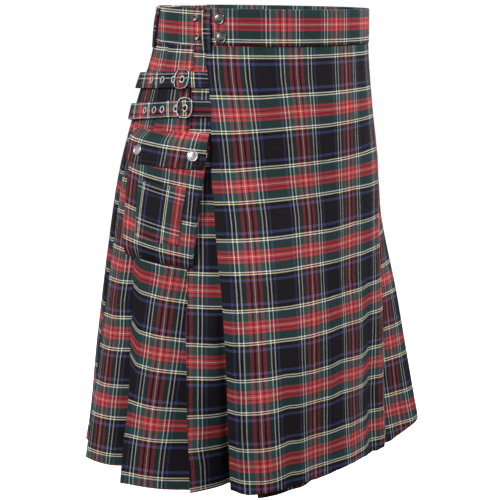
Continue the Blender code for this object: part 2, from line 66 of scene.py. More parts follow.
OUTLINE = table(
    "height right left front back",
    (0.0225, 0.149, 0.156, 0.1275, 0.123),
    (-0.0225, 0.153, 0.156, 0.1285, 0.126),
    (-0.1, 0.178, 0.163, 0.134, 0.148),
    (-0.2, 0.205, 0.182, 0.14, 0.176),
    (-0.3, 0.221, 0.199, 0.153, 0.196),
    (-0.42, 0.2365, 0.227, 0.169, 0.211),
    (-0.6, 0.26, 0.263, 0.181, 0.234),
)
PUSH = table(
    "arc push",
    (-0.3, 0.0), (-0.246, -0.005), (-0.19, -0.017), (-0.135, -0.025), (-0.045, -0.013),
    (0.0, 0.001), (0.037, 0.01), (0.079, 0.024), (0.12, 0.032), (0.146, 0.026), (0.162, 0.014),
    (0.2, 0.004), (0.26, 0.0),
)
PUSH_START = -0.18
PUSH_FULL = -0.55
PUSH_EASE = 1.3
DRAPE = table(
    "arc half_width start rise",
    (-0.1, 0.015, -0.28, -0.0075),
    (-0.128, 0.015, -0.28, 0.0045),
    (-0.036, 0.024, -0.33, 0.004),
    (0.036, 0.022, -0.36, -0.004),
    (-0.215, 0.03, -0.26, 0.006),
    (0.25, 0.03, -0.34, 0.004),
    (0.48, 0.05, -0.32, -0.007),
    (0.59, 0.045, -0.32, 0.007),
    (-0.5, 0.05, -0.34, -0.006),
    (-0.38, 0.045, -0.32, 0.006),
)
WAIST_DIP = 0.0035
DIP_ENDS = -0.20

CLOTH = 0.0012
PLY_GAP = 0.0008
PLY = CLOTH + PLY_GAP
PLEAT_OUT = -CLOTH / 2
APRON_OUT = 0.0016
BAND_THICK = 0.0024
BAND_UNDER_OUT = -0.0006
BAND_OVER_OUT = 0.0022

APRON_OPEN_EDGE = 0.143
APRON_HIP_FLARE = 0.013
APRON_HEM_FLARE = 0.015
HIP = -0.30
APRON_FAR_EDGE = -0.145
UNDER_FREE_EDGE = -0.095
UNDER_FOLD_BACK = 0.030

FOLDS = 12
FIRST_FOLD = 0.55
LAST_PANEL = 1.50
TUCK_AT_WAIST = 0.80
TUCK_AT_HEM = 0.43
END_TUCK = 0.034
STITCHED_TO = -0.17
OPEN_EASE = 1.15
PANEL_CURVE = 1.5
FOLD_PROUD = 0.010
FLICK_CURVE = 3
FOLD_STEP_UNDER_APRON = 0.050
FOLD_STEPS = (0.006, 0.046, 0.026, 0.030, 0.022, 0.028, 0.033, 0.025, 0.030, 0.023, 0.026, 0.012)
FOLD_STEP_FAR = 0.010
FAR_CREST = 0.004
FAR_RISE = 0.12
FAR_RISE_AT_HEM = 0.30
FAR_FALL = 0.22
RETURN_DROP = 0.35
HIDDEN_DROP = 0.60

BAND_OVER_END = 0.150
BAND_UNDER_END = -0.100
BAND_CROSSES_FROM = -0.125
BAND_CROSSES_TO = -0.30

LOOP_WIDTH = 0.010
LOOP_TOP = 0.0205
LOOP_BOTTOM = -0.0300
LOOP_THICK = 0.0016
LOOP_RISE = 0.0026
LOOP_EASE = 0.6
# How far the front loop stands to the side of the CAD model's
FRONT_LOOP_NUDGE = -0.0028
LOOPS = table(
    "name arc",
    ("belt_loop_front", 0.152 + FRONT_LOOP_NUDGE),
    ("belt_loop_left", -0.252),
    ("belt_loop_back", -0.442),
    ("belt_loop_right", -0.632),
)

STRAP_WIDTH = 0.0194
STRAP_THICK = 0.0016
STRAP_RUN = table(
    "from_buckle out",
    (-0.0335, 0.0014), (-0.029, 0.003), (-0.015, 0.0048), (0.0, 0.0055), (0.015, 0.0048),
    (0.045, 0.0036), (0.085, 0.0062), (0.105, 0.008), (0.13, 0.0056), (0.16, 0.0016),
    (0.172, 0.0016),
)
TAB_THICK = 0.0012
TAB_OUT = 0.0010
TAB_FROM = -0.0325
TAB_TO = 0.004
STRAPS = table(
    "name buckle_height sewn_height buckle_arc eyelets",
    ("upper", -0.0665, -0.0785, 0.184, (0.0, 0.0125, 0.033, 0.056)),
    ("lower", -0.102, -0.12, 0.182, (0.0, 0.0125, 0.034, 0.048, 0.066)),
)

BUCKLE_WIDTH = 0.0225
BUCKLE_HEIGHT = 0.0272
BUCKLE_WIRE = 0.00098
FRAME_LIFT = 0.0025
BUCKLE_ROUND = 2.8
BAR_WIRE = 0.0009
BAR_LIFT = -0.0026
BAR_SHIFT = -0.0010
BAR_SPLAY = 0.0006
PRONG_WIRE = 0.0008
PRONG = table("from_buckle lift", (0.0, 0.0021), (0.0086, 0.0048), (0.0125, 0.0050))

EYELET_OUTER = 0.0051
EYELET_INNER = 0.0028
EYELET_NARROW = 0.74
EYELET_HEIGHT = 0.0010

POCKET_TOP = -0.153
POCKET_BOTTOM = -0.299
POCKET_TILT = 0.085
POCKET_MIDDLE = 0.235
POCKET_FRONT_TOP = 0.158
POCKET_FRONT_BOTTOM = 0.188
POCKET_REAR_TOP = 0.266
POCKET_REAR_BOTTOM = 0.286
POCKET_OUT = 0.0100
POCKET_SEAM_OUT = 0.0016
POCKET_BEND = 0.020
POCKET_BEND_EASE = 0.8
PATCH_INSET_FRONT = 0.018
PATCH_INSET_REAR = 0.024
PATCH_TOP = -0.197
PATCH_BOTTOM = -0.270
FLAP_OUT = 0.0125
FLAP_TOP = -0.133
FLAP_BOTTOM = -0.180
FLAP_FRONT_TOP = 0.1540
FLAP_FRONT_BOTTOM = 0.1620
FLAP_REAR_TOP = 0.270
FLAP_REAR_BOTTOM = 0.277
FLAP_SHAPE = table(
    "height out",
    (FLAP_TOP, 0.0014), (-0.139, 0.0074), (-0.147, 0.0122), (-0.163, FLAP_OUT),
    (FLAP_BOTTOM, 0.0126),
)

BAND_SNAP = 0.0150
POCKET_SNAP = 0.0146
SPARE_STUD = 0.0085
BAND_OVER_FACE = BAND_OVER_OUT + BAND_THICK / 2
BAND_UNDER_FACE = BAND_UNDER_OUT + BAND_THICK / 2
FLAP_FACE = FLAP_OUT + CLOTH / 2
SNAPS = table(
    "name height arc face diameter",
    ("snap_band_upper", 0.0105, 0.1335, BAND_OVER_FACE, BAND_SNAP),
    ("snap_band_lower", -0.013, 0.1315, BAND_OVER_FACE, BAND_SNAP),
    ("stud_spare_upper", 0.0105, 0.166, BAND_UNDER_FACE, SPARE_STUD),
    ("stud_spare_lower", -0.013, 0.164, BAND_UNDER_FACE, SPARE_STUD),
    ("snap_pocket_rear", -0.158, 0.248, FLAP_FACE, POCKET_SNAP),
    ("snap_pocket_front", -0.161, 0.174, FLAP_FACE, POCKET_SNAP),
)
CAP_PROFILE = table(
    "radius_share rise_share",
    (0.93, 0.0), (0.98, 0.03), (1.0, 0.09), (0.995, 0.16), (0.965, 0.225), (0.92, 0.262),
    (0.875, 0.268), (0.84, 0.246), (0.815, 0.216), (0.77, 0.206), (0.6, 0.242), (0.4, 0.27),
    (0.2, 0.286), (0.0, 0.291),
)
STUD_PROFILE = table(
    "radius_share rise_share",
    (0.94, 0.0), (1.0, 0.06), (1.0, 0.2), (0.94, 0.33), (0.82, 0.4), (0.68, 0.39), (0.58, 0.3),
    (0.54, 0.16), (0.4, 0.12), (0.2, 0.12), (0.0, 0.12),
)

# --- What the scene adds to the form ---

# Soft ridges and troughs of the hanging cloth: the arc and half-width of each, the
# heights where it begins and where it is full, its rise, and how far its line leans per metre down
CREASES = table(
    "arc half_width begins full rise lean",
    (0.156, 0.006, -0.2, -0.45, -0.004, 0.0),
    (0.137, 0.008, -0.24, -0.5, 0.0022, 0.01),
    (0.092, 0.012, -0.3, -0.56, -0.002, -0.03),
    (0.064, 0.011, -0.26, -0.55, 0.0014, 0.02),
    (0.01, 0.012, -0.34, -0.58, 0.0016, -0.04),
    (-0.012, 0.009, -0.22, -0.42, -0.0009, 0.05),
    (-0.066, 0.012, -0.28, -0.52, 0.0018, 0.0),
    (-0.145, 0.01, -0.3, -0.5, -0.0014, 0.02),
    (0.205, 0.02, -0.34, -0.58, -0.0016, 0.03),
    (0.33, 0.024, -0.28, -0.55, 0.003, 0.05),
    (0.415, 0.022, -0.3, -0.52, -0.0028, -0.03),
    (0.545, 0.02, -0.26, -0.56, 0.0026, 0.04),
    (0.655, 0.026, -0.3, -0.55, -0.003, -0.05),
    (-0.285, 0.024, -0.28, -0.56, -0.0026, 0.04),
    (-0.44, 0.022, -0.26, -0.52, 0.0028, 0.03),
    (-0.57, 0.024, -0.3, -0.58, 0.003, -0.04),
)
# Slack left in the cloth: long soft waves, and the short puckers that the band's seam draws up
WAVES = table(
    "around down phase rise",
    (0.071, 0.43, 0.4, 0.0008),
    (0.113, -0.61, 2.1, 0.001),
    (0.047, 0.29, 4.4, 0.0004),
    (0.183, 0.37, 1.3, 0.001),
)
WAVES_START = -0.05
PUCKERS = table(
    "around down phase rise",
    (0.0173, 0.21, 0.9, 0.0003),
    (0.0271, -0.17, 3.2, 0.00035),
    (0.0419, 0.33, 5.3, 0.00045),
)
PUCKERS_REACH = 0.035

# Wander of each pleat's fold line, with the height; its phases step on from fold to fold
FOLD_WANDER = 0.0012
FOLD_WANDER_LENGTH = 0.31
FOLD_WANDER_STEP = 0.37
FOLD_WANDER_PHASE = 2.1

# Hems: the turned-up cloth doubles the edge over this height
HEM_TURN = 0.022
HEM_THICK = 0.0019
FACING = 0.014
FACING_THICK = 0.0018

# The band is padded on the inside where it holds the pleats: between which arcs the padding grows,
# and how far before the band's end it fades. Its face is a little full, and the belt loops' too.
BAND_PAD = 0.0034
PADDED_FROM = -0.15
PADDED_FULL = -0.20
UNPADDED_FROM = 0.245
UNPADDED_FULL = 0.20
BAND_CROWN = 0.0002
LOOP_CROWN = 0.00025

# Straps: the front end narrows to a share of the width over its tip, and the face is a little full
STRAP_TIP = 0.006
STRAP_TIP_EASE = 2.6
STRAP_TIP_WIDTH = 0.72
STRAP_CROWN = 0.0003
PRONG_TAPER = 0.35
EYELET_SIDES = 36
# The near-black disc that paints the shade in each eyelet's hole: its size against the hole, and
# how far down it sits
HOLE_RIM = 1.05
HOLE_DEPTH = 0.0004

# Pocket: places on its bellows sides, as shares of its depth; how far the sides tuck in, and from
# which depth fully; the inset of its corners, its front's fullness and its flap's rounded corners
GUSSET = np.array([0.0, 0.12, 0.30, 0.50, 0.70, 0.86, 0.95])
GUSSET_TUCK = 0.0012
GUSSET_DEEP = 0.006
POCKET_CORNER = 0.0008
POCKET_CROWN = 0.0016
POCKET_CROWN_BEGINS = 0.03
POCKET_CROWN_FULL = 0.08
POCKET_CROWN_EASE = 0.7
FLAP_CORNER = 0.003
FLAP_CORNER_HEIGHT = 0.004
FLAP_DROOP = 0.0016
FLAP_DROOP_FULL = 0.02
FLAP_DROOP_EASE = 10
FLAP_DRAWN_FRONT = 0.04
FLAP_DRAWN_REAR = 0.15

# Tartan: half of each symmetric sett, from the middle of its white line, in millimetres of yarn.
# The warp is crammed a little more than the weft, so its stripes are narrower.
WARP_SETT = table(
    "yarn width",
    ("white", 0.45),
    ("red", 2.75),
    ("black", 2.7),
    ("red", 4.5),
    ("green", 6.0),
    ("black", 0.05),
    ("white", 1.5),
    ("black", 3.7),
    ("white", 1.5),
    ("black", 3.35),
    ("blue", 2.8),
    ("black", 13.95),
)
WEFT_SETT = table(
    "yarn width",
    ("white", 0.12),
    ("scarlet", 2.98),
    ("maroon", 1.5),
    ("red", 3.6),
    ("green", 10.1),
    ("black", 0.36),
    ("white", 1.38),
    ("black", 1.6),
    ("cream", 1.4),
    ("black", 4.66),
    ("blue", 3.6),
    ("black", 13.4),
)
WARP_REPEAT = 0.0865
WEFT_REPEAT = 0.0894
WEFT_LINE = -0.1087
YARNS = {
    "white": (0.72, 0.73, 0.68),
    "cream": (0.73, 0.69, 0.44),
    "red": (0.360, 0.049, 0.057),
    "scarlet": (0.480, 0.058, 0.058),
    "maroon": (0.262, 0.0120, 0.0142),
    "black": (0.0082, 0.0062, 0.0080),
    "green": (0.0195, 0.0525, 0.0495),
    "blue": (0.033, 0.045, 0.118),
}
# Shares of the twill where the weft lies on top and where the warp does; the rest is the crevice
# between them, painted shade in the darker yarn's colour
WEFT_SHARE = 0.46
WARP_SHARE = 0.24
YARN_PITCH = 0.00032
YARN_WOBBLE = 0.0004
# How sharply the twill's ribs end, and the share of the ribs against their even mixture
TWILL_SOFT = 0.03
TWILL_CLEAR = 0.5
THREAD = (0.022, 0.022, 0.028)
# The buckles' wire nickel is a darker copy of the nickel: its lower base colour is painted shade,
# which holds back the lamps' bright reflections on the thin wire
METALS = table(
    "name colour roughness dull metallic",
    ("nickel", (0.44, 0.43, 0.415), 0.32, 0.15, 1.0),
    ("wire_nickel", (0.2, 0.195, 0.185), 0.26, 0.3, 1.0),
    ("eyelet_nickel", (0.42, 0.41, 0.39), 0.42, 0.2, 0.45),
    ("dark_nickel", (0.13, 0.125, 0.125), 0.2, 0.2, 1.0),
)

# Where the white line of the warp lies on the outer apron: arcs at six heights
APRON_WARP_HEIGHTS = (-0.064, -0.153, -0.243, -0.332, -0.422, -0.511)
APRON_WARP = table(
    "warp h1 h2 h3 h4 h5 h6",
    (2 * WARP_REPEAT, 0.205, 0.2, 0.198, 0.2, 0.204, 0.206),
    (WARP_REPEAT, 0.1199, 0.1143, 0.1113, 0.1137, 0.118, 0.1204),
    (0.0, 0.0356, 0.0294, 0.0259, 0.0318, 0.0388, 0.0416),
    (-WARP_REPEAT, -0.0485, -0.0475, -0.047, -0.0409, -0.0423, -0.039),
    (-2 * WARP_REPEAT, -0.133, -0.137, -0.142, -0.143, -0.135, -0.128),
    (-3 * WARP_REPEAT, -0.22, -0.224, -0.229, -0.23, -0.222, -0.215),
)
# How far the weft lines of the outer apron ride above their level
APRON_WEFT_ARCS = (-0.130, -0.105, -0.058, -0.008, 0.040, 0.085, 0.125)
APRON_WEFT = table(
    "height a1 a2 a3 a4 a5 a6 a7",
    (-0.04, 0.0045, 0.0045, 0.0045, 0.004, 0.0035, 0.0035, 0.0035),
    (-0.1, 0.0035, 0.0035, 0.0035, 0.002, 0.002, -0.001, -0.001),
    (-0.157, 0.008, 0.008, 0.005, 0.002, 0.0005, -0.001, -0.004),
    (-0.217, 0.002, 0.002, 0.0035, 0.002, 0.0005, -0.001, -0.0025),
    (-0.273, 0.002, 0.002, 0.0035, 0.0005, 0.0005, -0.001, -0.001),
    (-0.335, 0.0002, 0.0002, 0.002, 0.002, 0.0005, -0.0007, 0.0005),
    (-0.39, 0.0019, 0.0019, 0.0017, 0.003, 0.0007, 0.0023, 0.002),
    (-0.45, -0.0009, -0.0009, -0.0015, 0.0039, 0.001, 0.0052, 0.004),
    (-0.51, -0.0027, -0.0027, -0.0015, 0.0025, 0.003, 0.007, 0.004),
)

# Pleats on the wearer's right side: how far each fold stands off its even line
FOLD_SHIFTS = table(
    "fold height shift",
    (0, -0.345, 0.0), (0, -0.368, 0.004), (0, -0.392, 0.0056), (0, -0.43, 0.0047),
    (0, -0.464, 0.0044), (0, -0.5, 0.0034), (0, -0.531, 0.0021), (0, -0.555, 0.0008),
    (0, -0.59, 0.0), (1, -0.2, 0.0), (1, -0.3, 0.01), (1, -0.374, 0.0082),
    (1, -0.415, 0.0075), (1, -0.47, 0.0042), (1, -0.5, 0.004), (1, -0.533, 0.0075),
    (1, -0.575, 0.0084), (2, -0.18, 0.0), (2, -0.29, 0.003), (2, -0.32, 0.006),
    (2, -0.37, 0.012), (2, -0.41, 0.019), (2, -0.59, 0.014),
)
# Distance from each fold's even line to a white line of its warp, how far its weft lines ride above
# their level 12 mm behind the fold, how much more per metre further back, and how much more they
# curl up at the fold itself
PANEL_LAYS = table(
    "panel height line_to_line rise lean curl",
    (0, -0.048, -0.003, -0.0374, 0.0, 0.0),
    (0, -0.13, -0.003, -0.0434, 0.0, 0.0),
    (0, -0.3, -0.0018, -0.0439, 0.0, 0.0),
    (0, -0.33, -0.004, -0.0439, 0.0, 0.0),
    (0, -0.36, -0.0055, -0.0439, 0.0, 0.0),
    (0, -0.38, -0.0064, -0.0447, 0.0, 0.0),
    (0, -0.41, -0.008, -0.0449, 0.0, 0.0),
    (0, -0.43, -0.008, -0.0461, 0.01, 0.0),
    (0, -0.455, -0.008, -0.0463, 0.02, 0.0),
    (0, -0.481, -0.008, -0.048, 0.04, 0.0),
    (0, -0.508, -0.0071, -0.0494, 0.05, 0.0),
    (0, -0.534, -0.0078, -0.0497, 0.06, 0.0),
    (0, -0.56, -0.0045, -0.0527, 0.06, 0.0),
    (1, -0.04, 0.042, -0.033, 0.0, 0.0),
    (1, -0.125, 0.0462, -0.024, 0.0, 0.0),
    (1, -0.28, 0.0492, -0.03, -0.1, 0.004),
    (1, -0.31, 0.0492, -0.0313, -0.13, 0.006),
    (1, -0.33, 0.0467, -0.0318, -0.12, 0.007),
    (1, -0.35, 0.0435, -0.0323, -0.11, 0.008),
    (1, -0.37, 0.042, -0.0338, -0.1, 0.009),
    (1, -0.39, 0.0405, -0.0353, -0.094, 0.01),
    (1, -0.415, 0.0398, -0.0365, -0.086, 0.012),
    (1, -0.435, 0.0385, -0.0367, -0.08, 0.012),
    (1, -0.455, 0.037, -0.0372, -0.07, 0.006),
    (1, -0.475, 0.0355, -0.039, -0.056, 0.001),
    (1, -0.5, 0.0335, -0.0398, -0.045, 0.0),
    (1, -0.52, 0.032, -0.0417, 0.0, 0.0),
    (1, -0.54, 0.0295, -0.0412, 0.0, 0.0),
    (1, -0.56, 0.028, -0.0434, 0.0, 0.0),
    (1, -0.577, 0.027, -0.044, 0.0, 0.0),
    (2, -0.04, 0.015, -0.032, 0.0, 0.0),
    (2, -0.13, 0.02, -0.027, 0.0, 0.0),
    (2, -0.21, 0.024, -0.0243, 0.0, 0.0),
    (2, -0.29, 0.025, -0.0243, 0.0, 0.0),
    (2, -0.32, 0.023, -0.0255, 0.03, 0.0),
    (2, -0.36, 0.019, -0.0291, 0.1, 0.0),
    (2, -0.39, 0.0188, -0.0303, 0.11, 0.0),
    (2, -0.415, 0.018, -0.0317, 0.1, 0.0),
    (2, -0.44, 0.0157, -0.0326, 0.1, 0.0),
    (2, -0.47, 0.015, -0.0344, 0.1, 0.0),
    (2, -0.5, 0.0142, -0.0341, 0.09, 0.0),
    (2, -0.526, 0.0142, -0.036, 0.08, 0.0),
    (2, -0.555, 0.0139, -0.0392, 0.08, 0.0),
)
LEAN_FROM = 0.012
CURL_REACH = 0.013
CURL_EASE = 1.4
# The other pleats' weft lines, which their panels share but for a little drift
FAR_RISE_OF_LINES = table(
    "height rise",
    (-0.04, -0.031), (-0.13, -0.025), (-0.2, -0.017), (-0.25, -0.0165), (-0.31, -0.022),
    (-0.37, -0.022), (-0.57, -0.028),
)
# How far the warp lines of the first of those pleats stand off, and the last panel's weft lines
THIRD_PANEL = 3
THIRD_LINES = table(
    "height shift", (-0.17, 0.0130), (-0.24, 0.0130), (-0.31, 0.0228), (-0.59, 0.0260)
)
LAST_RISES = table(
    "height rise",
    (-0.3, 0.0147), (-0.4, 0.0147), (-0.455, 0.0117), (-0.51, 0.005), (-0.57, -0.0025),
)
# How far a pleat's hem is drawn up where its panel starts and at its fold
HEM_LIFTS = table("panel at_start at_fold", (0, 0.004, 0.0), (2, 0.010, 0.004), (3, 0.003, 0.002))
HEM_LIFTED_FROM = -0.42
# How far the hems of both aprons are drawn up, along the arc
APRON_HEM_LIFTS = table(
    "arc lift",
    (0.158, 0.001), (0.138, 0.0004), (0.115, 0.003), (0.07, 0.0031), (0.04, -0.0022),
    (0.02, -0.0014), (0.011, -0.0005), (0.001, 0.0012), (-0.023, 0.0021), (-0.036, 0.0008),
    (-0.053, -0.0007), (-0.068, -0.002), (-0.086, -0.0064), (-0.1, -0.0094), (-0.109, -0.0058),
    (-0.118, -0.0022), (-0.128, -0.0028), (-0.145, -0.0056),
)
# How much further the under apron's hem is drawn up, and from which arc to which that begins
UNDER_HEM_TUCK = 0.0090
UNDER_TUCKED_FROM = 0.070
UNDER_TUCKED_TO = 0.030
# Under apron: its warp coordinate at the centre front, the rise of its weft lines, and how far
# behind its fold its turned edge ends
UNDER_WARP = 0.02
UNDER_RISE = 0.006
UNDER_TURN_BACK = 0.004
# How far the last panel's hem is drawn up, along its cloth
FAR_HEM_LIFTS = table(
    "run lift",
    (0.0, 0.0), (0.022, 0.0076), (0.042, 0.0088), (0.055, 0.007), (0.069, 0.0042),
    (0.079, 0.001), (0.088, -0.0025), (0.097, -0.0051), (0.107, -0.0077), (0.117, -0.0094),
)
# How far the outer apron's open edge lies in front of its even line
OPEN_EDGE_SHIFTS = table(
    "height shift",
    (-0.02, 0.0075), (-0.046, 0.007), (-0.062, 0.005), (-0.092, 0.0028), (-0.12, 0.0014),
    (-0.155, 0.0034), (-0.185, 0.003), (-0.215, 0.0004), (-0.28, -0.001), (-0.33, -0.0026),
    (-0.4, -0.0018), (-0.55, 0.0),
)
# The other pleats' warp lines are counted on from the panel before at one height. They drift from
# there along the arc, and their weft lines a little up or down, by panel and from a height on.
COUNTED_AT = -0.35
LINE_START = 0.012
LINE_DRIFT = 0.008
LINE_DRIFT_PHASE = 2.3
LINES_DRIFT_FROM = -0.2
RISE_DRIFT = 0.003
RISE_DRIFT_PHASE = 1.7
RISES_DRIFT_FROM = -0.25

# How the cloth of the small pieces lies: a white warp line's arc and a white weft line's height at
# the piece's own middle, how they lean, and how closely the lines are spaced
PIECE_LAYS = {
    row.piece: row
    for row in table(
        "piece arc height warp_line weft_line warp_lean weft_lean warp_scale turned",
        ("band_over", 0.0, 0.0, 0.0525, 0.0045, 0.0, 0.0, 1.0, False),
        ("band_under", 0.2, 0.0, 0.164, -0.0025, 0.0, 0.02, 1.0, False),
        ("pocket_flap", 0.1876, -0.151, 0.1903, -0.132, 0.25, 0.11, 0.84, False),
        ("pocket_body", 0.22, -0.23, 0.1993, -0.259, 0.158, 0.1, 0.78, False),
        ("pocket_patch", 0.2077, -0.225, 0.1964, -0.1892, 0.21, 0.235, 0.704, True),
    )
}

# Arcs between which the band's cloth passes from its front's lay to that of the layer under it.
# From the front's left part up to there its warp lines lie closer, by a share.
LAYS_CROSS_FROM = -0.30
LAYS_CROSS_TO = -0.75
BAND_CLOSER_FROM = 0.040
BAND_CLOSER = 0.09

# How the straps' cloth lies, cut along the warp: a white warp line's place across the strap, the
# way it counts, and the weft coordinate at arcs. The tabs have a warp coordinate at their middle,
# and an arc where their weft coordinate is 0.
TAB_WARP = 0.020
TAB_WEFT = 0.150
STRAP_LAYS = {
    "upper": (
        -0.0244,
        -1,
        ((0.15, 0.0409), (0.1935, -0.0026), (0.1945, -0.0654), (0.2455, 0.0), (0.36, 0.147)),
    ),
    "lower": (
        0.0092,
        1,
        (
            (0.15, 0.0538), (0.183, 0.0208), (0.1935, 0.0103), (0.1945, -0.003), (0.2072, -0.0208),
            (0.241, -0.0686), (0.2585, -0.0894), (0.36, -0.22),
        ),
    ),
}
# Belt loops, cut along the weft: the warp coordinate at the loop's middle and the weft's across it
LOOP_WARP = -0.0148
LOOP_WEFT = 0.0266

# Sewing: pitch and length of a stitch, its thread, and how far a seam runs in from an edge
STITCH_PITCH = 0.0029
STITCH_LENGTH = 0.0023
STITCH_WIDTH = 0.00045
STITCH_RISE = 0.00022
EDGE_SEAM = 0.0022


# --- Places on the cloth ---
RING_POINTS = 720
RING_SAMPLES = 1800
RING_LOW = -0.612
RING_STEP = 0.002
RING_COUNT = 324


def interpolate(rows, column, at):
    """Monotone cubic through one column of a table, along its first column, at many values."""
    rows = sorted(rows)
    x = np.array([row[0] for row in rows])
    y = np.array([getattr(row, column) for row in rows])
    at = np.clip(at, x[0], x[-1])
    width = np.diff(x)
    slope = np.diff(y) / width
    tangent = np.concatenate([slope[:1], np.zeros(len(x) - 2), slope[-1:]])
    for j in range(1, len(x) - 1):
        before, after = slope[j - 1], slope[j]
        if before * after > 0:
            w1 = 2 * width[j] + width[j - 1]
            w2 = width[j] + 2 * width[j - 1]
            tangent[j] = (w1 + w2) / (w1 / before + w2 / after)
    i = np.clip(np.searchsorted(x, at) - 1, 0, len(x) - 2)
    t = (at - x[i]) / width[i]
    return (
        (2 * t**3 - 3 * t**2 + 1) * y[i]
        + (t**3 - 2 * t**2 + t) * width[i] * tangent[i]
        + (3 * t**2 - 2 * t**3) * y[i + 1]
        + (t**3 - t**2) * width[i] * tangent[i + 1]
    )


def linear(rows, at):
    """Straight lines through pairs of numbers, at many values."""
    return np.interp(at, *zip(*sorted(rows)))


def clipped(share):
    return np.clip(share, 0.0, 1.0)


def smooth(share):
    """0 to 1 with level ends."""
    share = clipped(share)
    return share * share * (3 - 2 * share)


def between(value, start, end):
    """Share of the way from start to end, eased, 0 before and 1 after."""
    return smooth((value - start) / (end - start))


def mix(start, end, share):
    """What lies at a share of the way from start to end."""
    return start + (end - start) * share


def wrapped(value, period):
    """The value less whole periods, at most half a period from 0."""
    return (value + period / 2) % period - period / 2


def run_along(points):
    """Distance along a line of points, at each of them."""
    return np.concatenate([[0.0], np.cumsum(np.linalg.norm(np.diff(points, axis=0), axis=1))])


def make_rings():
    """Outlines of the body at even heights: points with normals, first arcs and girths."""
    heights = RING_LOW + RING_STEP * np.arange(RING_COUNT)
    right, left, front, back = (
        interpolate(OUTLINE, name, heights) for name in ("right", "left", "front", "back")
    )
    angle = np.linspace(-np.pi, np.pi, RING_POINTS + 1)
    rings, firsts, girths = [], [], []
    for i in range(RING_COUNT):
        half_width = np.where(np.sin(angle) > 0, right[i], left[i])
        half_depth = np.where(np.cos(angle) > 0, front[i], back[i])
        points = np.stack([-half_width * np.sin(angle), -half_depth * np.cos(angle)], axis=1)
        normals = points / np.stack([half_width, half_depth], axis=1) ** 2
        normals /= np.linalg.norm(normals, axis=1)[:, None]
        arcs = run_along(points)
        even = np.linspace(0.0, arcs[-1], RING_SAMPLES + 1)[:-1]
        columns = (*points.T, *normals.T)
        rings.append(np.stack([np.interp(even, arcs, column) for column in columns], axis=1))
        firsts.append(-arcs[RING_POINTS // 2])
        girths.append(arcs[-1])
    return heights, np.array(rings), np.array(firsts), np.array(girths)


RING_HEIGHTS, RINGS, FIRST_ARCS, GIRTHS = make_rings()


def girth(height):
    return np.interp(height, RING_HEIGHTS, GIRTHS)


def push(height, arc):
    """How far the hanging cloth has moved off the body outline, with its large and small folds."""
    around = girth(height)
    arc = wrapped(arc, around)
    grown = clipped((PUSH_START - height) / (PUSH_START - PUSH_FULL))
    total = np.sin(np.pi / 2 * grown) ** PUSH_EASE * interpolate(PUSH, "push", arc)
    for fold in DRAPE:
        share = clipped((fold.start - height) / (fold.start - HEM))
        away = (arc - fold.arc) / fold.half_width
        total += fold.rise * np.sin(np.pi / 2 * share) * np.exp(-away * away)
    for crease in CREASES:
        line = crease.arc + crease.lean * (crease.begins - height)
        away = (arc - line) / crease.half_width
        total += crease.rise * between(height, crease.begins, crease.full) * np.exp(-away * away)
    loose = between(height, WAVES_START, HEM)
    turn = 2 * np.pi
    for wave in WAVES:
        phase = turn * (np.sin(np.pi * arc / around) * around / wave.around / np.pi)
        total += loose * wave.rise * np.sin(phase + turn * height / wave.down + wave.phase)
    drawn = np.exp(-np.maximum(PANEL_TOP - height, 0.0) / PUCKERS_REACH)
    drawn *= between(height, PANEL_TOP, PANEL_TOP - PUCKERS_REACH / 4)
    for pucker in PUCKERS:
        phase = turn * (arc / pucker.around + height / pucker.down) + pucker.phase
        total += drawn * pucker.rise * np.sin(phase)
    return total


def dip(height, arc):
    """How far a place near the waist is raised or lowered by the tilt of the waist."""
    left = clipped((height - DIP_ENDS) / (BAND_HEIGHT / 2 - DIP_ENDS))
    return -WAIST_DIP * np.cos(2 * np.pi * arc / girth(height)) * left**2 * (3 - 2 * left)


def place(height, arc, out):
    """World points of places on the cloth."""
    height, arc, out = np.broadcast_arrays(*map(np.asarray, (height, arc, out)))
    row = np.clip((height - RING_LOW) / RING_STEP, 0.0, RING_COUNT - 1.001)
    low = row.astype(int)
    found = 0.0
    for j, share in ((low, low + 1 - row), (low + 1, row - low)):
        t = (arc - FIRST_ARCS[j]) / GIRTHS[j] % 1.0 * RING_SAMPLES
        k = t.astype(int) % RING_SAMPLES
        part = (t - np.floor(t))[..., None]
        ring = RINGS[j, k] * (1 - part) + RINGS[j, (k + 1) % RING_SAMPLES] * part
        found = found + ring * share[..., None]
    out = out + push(height, arc)
    flat = found[..., :2] + found[..., 2:] * out[..., None]
    return np.concatenate([flat, (height + dip(height, arc))[..., None]], axis=-1)


def apron_open_edge(height):
    """Arc of the outer apron's open edge: the apron widens from the waist to the hem."""
    upper = APRON_OPEN_EDGE + APRON_HIP_FLARE * clipped(height / HIP)
    below = np.maximum((HIP - height) / (HIP - HEM), 0.0)
    return upper + (APRON_HEM_FLARE - APRON_HIP_FLARE) * below


def under_fold(height):
    """Arc of the fold where the under apron turns into the first pleat."""
    return apron_open_edge(height) - UNDER_FOLD_BACK


def pleat_pitch(height):
    """Arc from one fold to the next."""
    covered = girth(height) - apron_open_edge(height) + APRON_FAR_EDGE
    return covered / (FIRST_FOLD + FOLDS - 1 + LAST_PANEL)


def opened(height):
    """0 where the pleats are stitched flat, 1 at the hem."""
    return clipped((STITCHED_TO - height) / (STITCHED_TO - HEM)) ** OPEN_EASE


def band_out(arc):
    """Middle of the band: outer layer across the front, then in to the layer under it."""
    return mix(BAND_OVER_OUT, BAND_UNDER_OUT, between(arc, BAND_CROSSES_FROM, BAND_CROSSES_TO))


# --- Meshes ---
RIM_REACH = 0.8
CRISP = 0.0006
HEM_STEP = 0.0008
PROBE = 0.001


def linked(name, data):
    """New object in the scene."""
    made = bpy.data.objects.new(name, data)
    bpy.context.scene.collection.objects.link(made)
    return made


